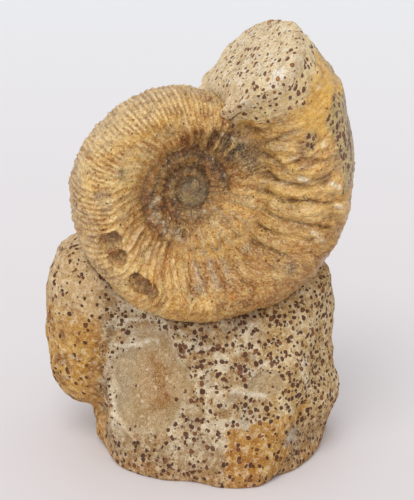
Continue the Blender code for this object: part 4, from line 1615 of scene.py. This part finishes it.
    def _carve(self, piece: Piece) -> None:
        """Breaks the pits out of the front flank, and gives their walls tints, painted shade where they are
        deep or face down, and values.

        Args:
            piece: The shell, which is cut.
        """
        cutters = [self._pit(number, *pit) for number, pit in enumerate(self.pits)]
        before = {tuple(p) for p in np.round(read_points(piece), 7)}
        tree = BVHTree.FromObject(piece, bpy.context.evaluated_depsgraph_get())
        cut(piece, cutters)
        places = read_points(piece)
        fresh = np.array([tuple(p) not in before for p in np.round(places, 7)])
        depth = np.zeros(len(places))
        depth[fresh] = [tree.find_nearest(Vector(p))[3] for p in places[fresh]]
        painted_shade_facing_down = np.maximum(-read_points(piece, "normal")[:, 2], 0.0)
        tints = np.zeros(len(places) * 4, np.float32)
        piece.data.attributes["tint"].data.foreach_get("color", tints)
        paint = Paint(len(places), (0, 0, 0))
        paint.colours = tints.reshape(-1, 4)[:, :3].astype(float)
        paint.lay((186, 146, 92), fresh * 1.0)
        # Painted shade in the pits: darker deeper in and where their walls face down.
        paint.lay((134, 100, 60), fresh * ramp(depth, 0.5 * MM, 1.7 * MM) * 0.8)
        paint.lay((112, 82, 46), fresh * ramp(painted_shade_facing_down, 0.1, 0.6) * 0.8)
        paint.lay((176, 108, 50), fresh * ramp(fractal(places, 2.0 * MM, 2, 83), 0.1, 0.4) * 0.6)
        paint.lay((216, 182, 134), fresh * ramp(fractal(places, 1.6 * MM, 3, 85), 0.05, 0.3) * 0.6)
        paint.keep(piece)
        for name, value in (("bare", 0.0), ("specks", 0.3), ("calm", 0.3)):
            kept = np.zeros(len(places), np.float32)
            piece.data.attributes[name].data.foreach_get("value", kept)
            store(piece, name, np.where(fresh, value, kept))


@dataclass
class MouthStone:
    """The limestone that fills the shell's broken mouth, with a rough free face.

    Cells are counts, and lengths are metres. depth is how far the middle of the
    face stands out, edge_rise how far its edge does, and least_rise what the
    roughness leaves of it anywhere.
    """

    shell: AmmoniteShell
    along_cells: int = 150
    across_cells: int = 70
    deep_cells: int = 8
    depth: float = 0.0046
    start_gap: float = 0.00005
    edge_rise: float = 0.12 * MM
    least_rise: float = 0.1 * MM
    grit_height: float = 0.65 * MM
    lump_height: float = 0.5 * MM
    bump: float = 0.001
    bump_scale: float = 110.0
    corner_t: float = 0.14
    rest_gap: float = -0.001
    sharp_angle: float = 50.0

    def opening(self, along: Array, across: Array, rib: float) -> Array:
        """Points over the mouth, in the shell's own frame.

        Args:
            along: Places round the lip, as s.
            across: Places from the outside to the whorl beneath, 0 to 1.
            rib: Place along the spiral, in ribs.

        Returns:
            The points, (along, across, 3).
        """
        form = self.shell.spiral
        t_in = form.seam_t + (2.0 - form.seam_t) * form.fold(along) / 2.0
        s_in = np.where(along <= 2.0, t_in, 4.0 - t_in)
        ribs = np.full_like(along, rib)
        outside = form.point(ribs, along, self.shell.relief(ribs, along))
        beneath_ribs = ribs - form.ribs_per_turn
        crest = form.fork_height * form.radius(form.seam_angle(beneath_ribs)) + self.rest_gap
        beneath = form.point(beneath_ribs, s_in, crest)
        return outside[:, None] * (1.0 - across[None, :, None]) + beneath[:, None] * across[None, :, None]

    def build(self) -> Piece:
        """Makes the stone as a closed bent slab.

        Returns:
            The piece, with the values that its finish reads.
        """
        form = self.shell.spiral
        last = float(form.ribs_per_turn)
        along = np.linspace(self.corner_t, 4.0 - self.corner_t, self.along_cells + 1)
        across = np.linspace(0.0, 1.0, self.across_cells + 1)
        deep = np.linspace(0.0, 1.0, self.deep_cells + 1)
        start = self.opening(along, across, last)
        flat = start.reshape(-1, 3)
        ahead = form.point(np.full_like(along, last + 0.2), along, np.zeros_like(along))
        ahead = ahead - form.point(np.full_like(along, last), along, np.zeros_like(along))
        ahead = (ahead / np.linalg.norm(ahead, axis=1, keepdims=True))[:, None]
        swell = np.array([noise.noise(Vector(p) * self.bump_scale) for p in flat]).reshape(start.shape[:2])
        grit = self.grit_height * fractal(flat, 3.4 * MM, 4, 91)
        rough = (grit + self.lump_height * fractal(flat, 12.0 * MM, 2, 95)).reshape(start.shape[:2])
        edge = np.minimum(0.22 + across / 0.24, 0.05 + (1.0 - across) / 0.34)[None, :]
        ends = np.minimum((along - along[0]) / 0.9, (along[-1] - along) / 0.45)[:, None]
        rim = np.sqrt(np.clip(1.0 - (1.0 - np.clip(np.minimum(edge, ends), 0.0, 1.0)) ** 2, 0.0, 1.0))
        rough = (self.bump * (0.4 + swell) + rough) * (0.15 + 0.85 * rim)
        face = self.edge_rise + self.start_gap + self.depth * rim + rough
        face = np.maximum(face, self.start_gap + self.least_rise)
        share = deep[:, None, None]
        forward = (share * face[None] + self.start_gap * (1.0 - share))[..., None]
        block = start[None] + ahead[None] * forward
        around = np.linalg.norm(start[..., ::2], axis=-1)[None, ..., None]
        block = block - start[None] * (1.0, 0.0, 1.0) / around * forward**2 / (2.0 * around)
        draft = MeshDraft()
        numbers = draft.add(form.placed(block.reshape(-1, 3)).reshape(block.shape))
        kept = np.zeros(numbers.shape, bool)
        for axis in range(3):
            for end in (0, -1):
                side = tuple(end if a == axis else slice(None) for a in range(3))
                kept[side] = True
                draft.grid(numbers[side], end == 0)
        fresh = np.cumsum(kept.ravel()) - 1
        draft.points = [np.concatenate(draft.points)[kept.ravel()]]
        draft.faces = [fresh[faces] for faces in draft.faces]
        piece = draft.to_object("mouth_limestone")
        piece.data.set_sharp_from_angle(angle=math.radians(self.sharp_angle))
        self._colour(piece)
        return piece

    @staticmethod
    def _colour(piece: Piece) -> None:
        """Gives the stone its tints and values.

        Args:
            piece: The stone in the mouth.
        """
        places = read_points(piece)
        drift = fractal(places, 8.0 * MM, 3, 97)
        fine = fractal(places, 2.6 * MM, 3, 98)
        paint = Paint(len(places), (236, 216, 176))
        paint.lay((222, 196, 150), ramp(drift, -0.1, 0.4) * 0.7)
        paint.lay((242, 234, 214), ramp(fine, 0.15, 0.45) * 0.6)
        paint.lay((190, 174, 148), ramp(-fine, 0.15, 0.45) * 0.4)
        low, high = places.min(axis=0), places.max(axis=0)
        across, _, up = ((places - low) / (high - low)).T
        white = window(across, 0.7, 0.77, 0.03) * window(up, 0.6, 0.72, 0.03)
        paint.lay((248, 244, 232), white * ramp(fine, -0.25, 0.15) * 0.8)
        paint.keep(piece)
        middle = window(across + 0.15 * drift, 0.3, 0.74, 0.15) * ramp(up + 0.15 * drift, 0.2, 0.4)
        store(piece, "crowd", 0.45 + 0.6 * middle + 0.4 * drift)
        store(piece, "smooth", np.zeros(len(places)))


@dataclass
class LimestoneBlock:
    """The block that the fossil stands on, with the seat that the shell has in it.

    sides are steep facets, as (azimuth, distance, lean), with angles in degrees.
    rims and cracks are drawn over the front, in millimetres. lobes are (centre,
    half sizes) and dents (centre, half sizes, depth), and lumps are (height,
    lumps to a metre). The search steps find where a ray leaves the block.
    """

    cells: int = 116
    sides: tuple[Triple, ...] = (
        (-126.0, 0.0352, 13.0),
        (-105.0, 0.0308, 15.0),
        (-77.0, 0.033, 17.5),
        (-38.0, 0.0315, 3.0),
        (-12.0, 0.0343, -14.5),
        (-4.0, 0.042, 5.0),
        (42.0, 0.04, 6.0),
        (90.0, 0.0315, 4.0),
        (135.0, 0.039, 6.0),
        (-163.0, 0.0398, 4.0),
    )
    middle: Pair = (0.005, 0.0)
    rims: tuple[Path, ...] = (
        ((-28.2, 48.3), (-18.9, 52.1), (-7.3, 49.0), (-3.5, 45.0)),
        ((-30.5, 18.0), (-33.2, 30.0), (-31.3, 41.1), (-25.2, 40.7), (-16.4, 44.6)),
    )
    cracks: tuple[Path, ...] = (
        ((-7.2, 41.3), (-1.3, 45.1)),
        ((11.0, 37.3), (24.8, 40.9)),
        ((7.8, 32.3), (18.9, 28.3)),
        ((32.4, 37.5), (32.5, 27.5)),
    )
    top_point: Pair = (-0.02, 0.053)
    top_slope: float = math.radians(28.0)
    cap: float = 0.067
    lobes: tuple[tuple[Triple, Triple], ...] = (
        ((-0.035, 0.013, 0.043), (0.02, 0.021, 0.031)),
        ((0.0325, 0.002, 0.019), (0.01, 0.013, 0.008)),
    )
    dents: tuple[tuple[Triple, Triple, float], ...] = (
        ((-0.0375, 0.0, 0.0145), (0.007, 0.016, 0.005), 0.0024),
        ((0.027, -0.027, 0.001), (0.012, 0.01, 0.008), 0.002),
        ((-0.007, -0.031, 0.001), (0.012, 0.008, 0.006), 0.002),
        ((0.008, -0.033, 0.033), (0.01, 0.01, 0.012), 0.0012),
        ((0.038, -0.008, 0.031), (0.007, 0.01, 0.006), 0.0016),
    )
    lobe_power: float = 2.5
    edge_rounding: float = 0.0017
    lobe_blend: float = 0.0014
    foot_rounding: float = 0.001
    lumps: tuple[Pair, ...] = ((0.0022, 38.0), (0.0011, 90.0))
    rough_height: float = 0.65 * MM
    grit_height: float = 0.42 * MM
    cell_size: float = 2.4 * MM
    grain_height: float = 0.16 * MM
    pock_depth: float = 0.5 * MM
    scar_depth: float = 0.9 * MM
    rim_height: float = 0.8 * MM
    crack_height: float = 0.45 * MM
    line_width: float = 0.75 * MM
    touch_reach: float = 0.02
    heart: Triple = (0.0, 0.006, 0.026)
    weights: Triple = (1.25, 0.95, 0.85)
    reach: float = 0.085
    search_steps: int = 60
    bisections: int = 20

    def outside(self, points: Array) -> Array:
        """How far each point is outside the block, negative inside.

        Args:
            points: Places on the block's own sheet, (n, 3).

        Returns:
            The distances in metres.
        """
        depths = []
        x, y = points[:, 0] - self.middle[0], points[:, 1] - self.middle[1]
        for azimuth, far, lean in self.sides:
            turn, tip = math.radians(azimuth), math.radians(lean)
            flat = x * math.cos(turn) + y * math.sin(turn)
            depths.append((flat - far) * math.cos(tip) + points[:, 2] * math.sin(tip))
        rise = (points[:, 2] - self.top_point[1]) * math.cos(self.top_slope)
        depths.append(rise - (points[:, 1] - self.top_point[0]) * math.sin(self.top_slope))
        depths.append(points[:, 2] - self.cap)
        depths.append(-points[:, 2] - self.foot_rounding)
        body = self.edge_rounding * np.log(np.sum(np.exp(np.array(depths) / self.edge_rounding), axis=0))
        joined = np.exp(-body / self.lobe_blend)
        for centre, radii in self.lobes:
            spread = np.abs((points - np.array(centre)) / np.array(radii))
            lobe = (np.sum(spread**self.lobe_power, axis=1) ** (1.0 / self.lobe_power) - 1.0) * min(radii)
            joined += np.exp(-lobe / self.lobe_blend)
        return -self.lobe_blend * np.log(joined)

    def surface(self, directions: Array) -> Array:
        """Finds where rays from the block's heart leave it.

        Args:
            directions: The rays' unit directions, (n, 3).

        Returns:
            One point to each direction.
        """
        heart = np.array(self.heart)
        near = np.zeros(len(directions))
        far = np.full(len(directions), self.reach)
        found = np.zeros(len(directions), bool)
        for step in range(1, self.search_steps + 1):
            reach = self.reach * step / self.search_steps
            out = self.outside(heart + directions * reach) > 0.0
            far[out & ~found] = reach
            near[~out & ~found] = reach
            found |= out
        for _ in range(self.bisections):
            middle = (near + far) / 2.0
            out = self.outside(heart + directions * middle[:, None]) > 0.0
            far = np.where(out, middle, far)
            near = np.where(out, near, middle)
        return heart + directions * near[:, None]

    def relief(self, points: Array) -> Array:
        """Height of the broken stone above the plain form.

        Args:
            points: Places on the block's own sheet, (n, 3).

        Returns:
            The heights in metres.
        """
        broad = sum(h * np.array([noise.noise(Vector(p) * scale) for p in points]) for h, scale in self.lumps)
        broad = broad * ramp(points[:, 2], 0.0, 0.005)
        dents = sum(deep * ramp(blob(points, centre, size), 0.0, 0.8) for centre, size, deep in self.dents)
        fine = self.rough_height * fractal(points, 5.5 * MM, 3, 11)
        fine = fine + self.grit_height * fractal(points, 2.2 * MM, 3, 13)
        distance, own = cells(points, self.cell_size, 17)
        grains = self.grain_height * (own > 0.5) * (1.0 - ramp(distance, 0.2, 0.5))
        pocks = self.pock_depth * (own < 0.08) * (1.0 - ramp(distance, 0.3, 0.6))
        lines = self.rim_height * self.lines(points, self.rims)
        lines = lines + self.crack_height * self.lines(points, self.cracks)
        scar = self.scar(points)
        rough = (fine + grains - pocks) * (1.0 - 0.8 * scar) - self.scar_depth * scar + lines
        return broad - dents + rough * ramp(points[:, 2], 0.0, 0.003)

    @staticmethod
    def scar(points: Array) -> Array:
        """Where the smooth rubbed pads on the front are.

        Args:
            points: Places on the block's own sheet, (n, 3).

        Returns:
            1 on a pad, falling to 0 beside it.
        """
        wobble = 0.14 * fractal(points, 7.0 * MM, 2, 19)
        large = blob(points, (-0.0198, -0.018, 0.0325), (0.0145, 0.018, 0.0198))
        small = blob(points, (0.02, -0.022, 0.0325), (0.0072, 0.012, 0.0048))
        return np.maximum(ramp(large + wobble, -0.06, 0.24), 0.8 * ramp(small + wobble, 0.0, 0.2))

    def lines(self, points: Array, paths: tuple[Path, ...]) -> Array:
        """Thin uneven lines on the front.

        Args:
            points: Places on the block's own sheet, (n, 3).
            paths: The lines' corners, in millimetres.

        Returns:
            1 on a line, falling to 0 beside it.
        """
        wobble = 1.5 * MM * fractal(points, 5.0 * MM, 3, 27)
        x, z = points[:, 0] + wobble, points[:, 2] - wobble
        drawn = [stroke(x, z, [(px * MM, pz * MM) for px, pz in path], self.line_width) for path in paths]
        broken = ramp(fractal(points, 2.2 * MM, 2, 28), -0.55, -0.05)
        return np.max(drawn, axis=0) * broken * (points[:, 1] < 0.0)

    def build(self, shell: Piece, axis: Vector) -> Piece:
        """Makes the block and lets the shell into it.

        Args:
            shell: The finished shell.
            axis: The middle of its coil, which the block is placed from.

        Returns:
            The piece, with the values that its finish reads.
        """
        mesh = bmesh.new()
        bmesh.ops.create_cube(mesh, size=2.0)
        bmesh.ops.subdivide_edges(mesh, edges=mesh.edges, cuts=self.cells - 1, use_grid_fill=True)
        bmesh.ops.triangulate(mesh, faces=mesh.faces)
        spread = np.array([v.co for v in mesh.verts]) * (math.pi / 4.0)
        directions = np.tan(np.clip(spread, -math.pi / 4.0, math.pi / 4.0)) * np.array(self.weights)
        directions /= np.linalg.norm(directions, axis=1)[:, None]
        places = self.surface(directions)
        places = places + directions * self.relief(places)[:, None]
        heart = np.array(self.heart)
        low = places[:, 2] < 0.0
        shrink = heart[2] / (heart[2] - places[low, 2])
        places[low] = heart + (places[low] - heart) * shrink[:, None]
        shift = np.array(axis + BLOCK_FROM_AXIS)
        piece = shaped_piece("limestone_block", mesh, places + shift)
        cut(piece, [shell], keep_cutters=True)
        self._note_values(piece, shell, shift)
        return piece

    def _note_values(self, piece: Piece, shell: Piece, shift: Array) -> None:
        """Gives the block its tints, with painted shadow in the crease beside the left lobe and where it
        touches the shell, and its values.

        Args:
            piece: The block.
            shell: The shell that it touches.
            shift: Where the block's sheet lies in the frame.
        """
        world = read_points(piece)
        points = world - shift
        x, y, z = points.T
        tree = BVHTree.FromObject(shell, bpy.context.evaluated_depsgraph_get())
        far = self.touch_reach
        gap = np.array([tree.find_nearest(Vector(p), far)[3] or far if p[2] > 0.03 else far for p in world])
        drift = fractal(points, 7.0 * MM, 3, 23)
        fine = fractal(points, 3.0 * MM, 3, 24)
        mottle = fractal(points, 5.0 * MM, 4, 25)
        scar = self.scar(points)
        paint = Paint(len(points), (186, 156, 111))
        paint.lay((172, 140, 94), ramp(mottle, 0.04, 0.2) * 0.75)
        paint.lay((228, 214, 184), ramp(-mottle, 0.06, 0.24) * 0.75)
        paint.lay((186, 174, 152), ramp(fine, 0.14, 0.3) * 0.6)
        low_pale = blob(points, (0.0, -0.028, 0.0145), (0.011, 0.02, 0.0085)) + 0.35 * drift
        paint.lay((208, 194, 168), ramp(low_pale, 0.0, 0.3) * 0.3)
        under_shell = blob(points, (-0.02, -0.02, 0.0545), (0.013, 0.02, 0.005)) + 0.4 * drift
        paint.lay((232, 220, 194), ramp(under_shell, 0.0, 0.5) * 0.7)
        paint.lay((226, 188, 112), ramp(x, 0.014, 0.022) * 0.35)
        paint.lay((166, 134, 92), ramp(-z + 0.004 * drift, -0.02, -0.008) * 0.7)
        behind = ramp(y, 0.006, 0.018)
        out = -x + (0.004 + 0.012 * behind) * drift - 0.002 * behind
        lobe = ramp(out, 0.0325 - 0.003 * behind, 0.0355 + 0.006 * behind)
        low = ramp(-z + (0.006 + 0.01 * behind) * drift, -0.057 - 0.004 * behind, -0.047)
        paint.lay((218, 186, 136), lobe * 0.75)
        paint.lay((200, 148, 62), lobe * low * (0.85 + 0.3 * drift))
        paint.lay((146, 98, 48), lobe * low * ramp(fine, 0.04, 0.25) * 0.75)
        paint.lay((226, 184, 98), lobe * low * ramp(-mottle, 0.05, 0.35) * 0.6)
        paint.lay((164, 136, 92), scar * 0.95)
        paint.lay((168, 150, 120), scar * ramp(-x + 0.004 * drift, 0.022, 0.027) * 0.7)
        middle = blob(points, (-0.0165, -0.018, 0.031), (0.0085, 0.02, 0.0105)) + 0.5 * drift
        paint.lay((156, 112, 56), scar * ramp(middle, 0.0, 0.45) * 0.9)
        stain = fractal(points, 2.6 * MM, 3, 29)
        paint.lay((136, 88, 40), scar * ramp(middle, 0.2, 0.5) * ramp(stain, 0.1, 0.35) * 0.8)
        paint.lay((194, 168, 128), scar * ramp(mottle, 0.08, 0.3) * 0.5)
        paint.lay((222, 208, 180), scar * ramp(fractal(points, 1.2 * MM, 2, 31), 0.5, 0.6) * 0.6)
        margin = ramp(scar, 0.05, 0.4) * (1.0 - ramp(scar, 0.5, 0.95)) * ramp(drift, -0.5, 0.1)
        paint.lay((216, 202, 176), margin * (y < 0.0) * 0.35)
        upper = z - 0.0175 - 0.24 * (x - 0.0059) + 0.0035 * drift + 0.0015 * fine
        right = x - 0.6 * (z - 0.01) + 0.004 * drift
        across = ramp(x + 0.002 * drift, 0.005, 0.006) * (1.0 - ramp(right, 0.0265, 0.029))
        rust = (1.0 - ramp(upper, -0.0008, 0.0008)) * across * (y < 0.0)
        side = ramp(x, 0.026, 0.036) * ramp(-z, -0.026, -0.016) * ramp(drift, -0.3, 0.2)
        rust = np.maximum(rust, 0.4 * side)
        paint.lay((188, 136, 48), rust * 0.9)
        paint.lay((172, 114, 44), rust * ramp(fine - 60.0 * (x - 0.014), -0.3, 0.3) * 0.7)
        paint.lay((210, 168, 94), rust * ramp(-mottle, 0.05, 0.35) * 0.45)
        paint.lay((168, 166, 160), stroke(x, z, [(0.0275, 0.0125), (0.0285, 0.0145)], 2.4 * MM) * 0.8)
        paint.lay((188, 140, 80), ramp(-z + 0.003 * drift, -0.0065, -0.002) * 0.55)
        rims = self.lines(points, self.rims) * ramp(drift, -0.7, 0.0)
        paint.lay((236, 226, 204), np.maximum(rims, self.lines(points, self.cracks)) * 0.75)
        # Painted shadow in the crease between the left lobe and the body.
        crease_shadow = stroke(x, z, [(-0.0315, 0.05), (-0.0345, 0.04), (-0.035, 0.022)], 1.6 * MM) * (y < 0.004)
        paint.lay((112, 86, 54), crease_shadow * 0.6)
        # Painted contact shadow where the block meets the shell.
        contact_shadow = 1.0 - ramp(gap + 0.5 * MM * drift, 0.2 * MM, 1.5 * MM)
        paint.lay((82, 60, 40), contact_shadow * 0.8)
        paint.keep(piece)
        crowd = 0.68 + 0.44 * ramp(x, -0.014, 0.002) + 0.3 * drift
        crowd = crowd + 0.45 * (1.0 - ramp(gap, 0.0015, 0.006))
        crowd = crowd * (1.0 - 0.97 * scar) * (1.0 - 0.65 * rust) * (1.0 - 0.4 * lobe - 0.2 * lobe * low)
        store(piece, "crowd", crowd)
        store(piece, "smooth", scar)


@dataclass
class Studio:
    """A pale table under soft light, and the camera where the photograph was taken from.

    stand is the point on the table that the block is laid out from. lamps are
    (name, direction, width in degrees, strength).
    """

    stand: Vector
    look_height: float = 0.072
    distance: float = 0.458
    elevation: float = 20.0
    lens: float = 100.0
    sensor: float = 36.0
    floor_half: float = 4.0
    floor_level: float = -0.00002
    lamps: tuple[tuple[str, Triple, float, float], ...] = (
        ("overhead_light", (-0.2, -0.55, 1.0), 32.0, 1.05),
        ("front_light", (-0.5, -1.0, 0.5), 60.0, 0.4),
    )
    room_colour: Shade = (0.98, 0.98, 1.0, 1.0)
    room_strength: float = 0.76

    def floor(self) -> Piece:
        """Makes the table, a wide plane with a pale finish whose colour brightens with distance: painted
        light, darker near the camera.

        Returns:
            The floor, marked as no part of the object.
        """
        draft = MeshDraft()
        ends = np.linspace(-self.floor_half, self.floor_half, 9)
        x, y = np.meshgrid(ends, ends)
        draft.grid(draft.add(np.stack([x, y, np.full_like(x, self.floor_level)], axis=-1)))
        piece = draft.to_object("table")
        graph = ShaderGraph("pale_table")
        place = graph.add("ShaderNodeSeparateXYZ", {}, {"Vector": graph.place})
        # Painted light falloff: the table's colour is darker near the camera and lighter far off.
        far = graph.out(place, "Y").rise(-0.1, 1.2)
        colour = graph.mix(far, srgb(223, 218, 219), srgb(229, 231, 233))
        grain = graph.noise(60.0 * MM, 2.0) * 0.08 + 0.55
        piece.data.materials.append(graph.finish({"Base Color": colour, "Roughness": grain}))
        return piece

    def lamp(self, name: str, towards: Triple, spread: float, strength: float) -> None:
        """Adds one wide soft light that is equally strong over the whole table.

        Args:
            name: Its name.
            towards: The direction that it is seen in from the object.
            spread: How wide it looks, in degrees.
            strength: Its strength in watts to the square metre.
        """
        light = bpy.data.lights.new(name, "SUN")
        light.energy = strength
        light.angle = math.radians(spread)
        made = bpy.data.objects.new(name, light)
        bpy.context.scene.collection.objects.link(made)
        made.rotation_mode = "QUATERNION"
        made.rotation_quaternion = Vector(towards).to_track_quat("Z", "Y")

    def camera(self) -> None:
        """Puts the camera at the photograph's angle."""
        data = bpy.data.cameras.new("camera")
        data.lens = self.lens
        data.sensor_width = self.sensor
        data.clip_start = 0.01
        data.clip_end = 20.0
        made = bpy.data.objects.new("camera", data)
        bpy.context.scene.collection.objects.link(made)
        up = math.radians(self.elevation)
        back = Vector((0.0, -math.cos(up), math.sin(up)))
        target = self.stand + Vector((0.0, 0.0, self.look_height))
        made.location = target + back * self.distance
        made.rotation_mode = "QUATERNION"
        made.rotation_quaternion = (-back).to_track_quat("-Z", "Y")
        bpy.context.scene.camera = made

    def build(self) -> None:
        """Makes the table, the lamps, the surrounding light and the camera."""
        self.floor()
        for lamp in self.lamps:
            self.lamp(*lamp)
        world = bpy.data.worlds.new("room")
        world.use_nodes = True
        ground = world.node_tree.nodes["Background"]
        ground.inputs["Color"].default_value = self.room_colour
        ground.inputs["Strength"].default_value = self.room_strength
        bpy.context.scene.world = world
        bpy.context.scene.view_settings.view_transform = "Standard"
        self.camera()


def attach(piece: Piece, finish: bpy.types.Material, node: str) -> None:
    """Dresses a piece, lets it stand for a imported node, and reports it.

    Args:
        piece: The piece.
        finish: Its material.
        node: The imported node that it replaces.
    """
    piece.data.materials.clear()
    piece.data.materials.append(finish)
    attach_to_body(piece, "root")
    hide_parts(node)
    LOG.info("%s: %d faces, stands for %s", piece.name, len(piece.data.polygons), node)


def main() -> None:
    """Builds the pieces in order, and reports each."""
    logging.basicConfig(level=logging.INFO, format="%(message)s")
    shell = AmmoniteShell(Spiral())
    fossil = shell.build()
    mouth = MouthStone(shell).build()
    block = LimestoneBlock().build(fossil, shell.spiral.axis)
    orange = Ooids(spacing=1.8 * MM, least=0.27, spread=0.17, stretch=(1.0, 0.74, 0.92), turn=-0.5,
                   dark=(112, 68, 42), rusty=(186, 122, 62), rim=(78, 46, 28))
    small = Ooids(spacing=1.2 * MM, least=0.2, spread=0.16, share=0.45, shift=0.37,
                  stretch=(1.0, 0.75, 0.92))
    mouth_finish = OoliteFinish("mouth_oolite", coarse=orange, fine=small)
    attach(fossil, ShellFinish("ochre_calcite").make(), "ammonite")
    attach(mouth, mouth_finish.make(), "mouth_matrix")
    attach(block, OoliteFinish("block_oolite").make(), "matrix_base")
    Studio(shell.spiral.axis + BLOCK_FROM_AXIS).build()


if __name__ == "__main__":
    main()
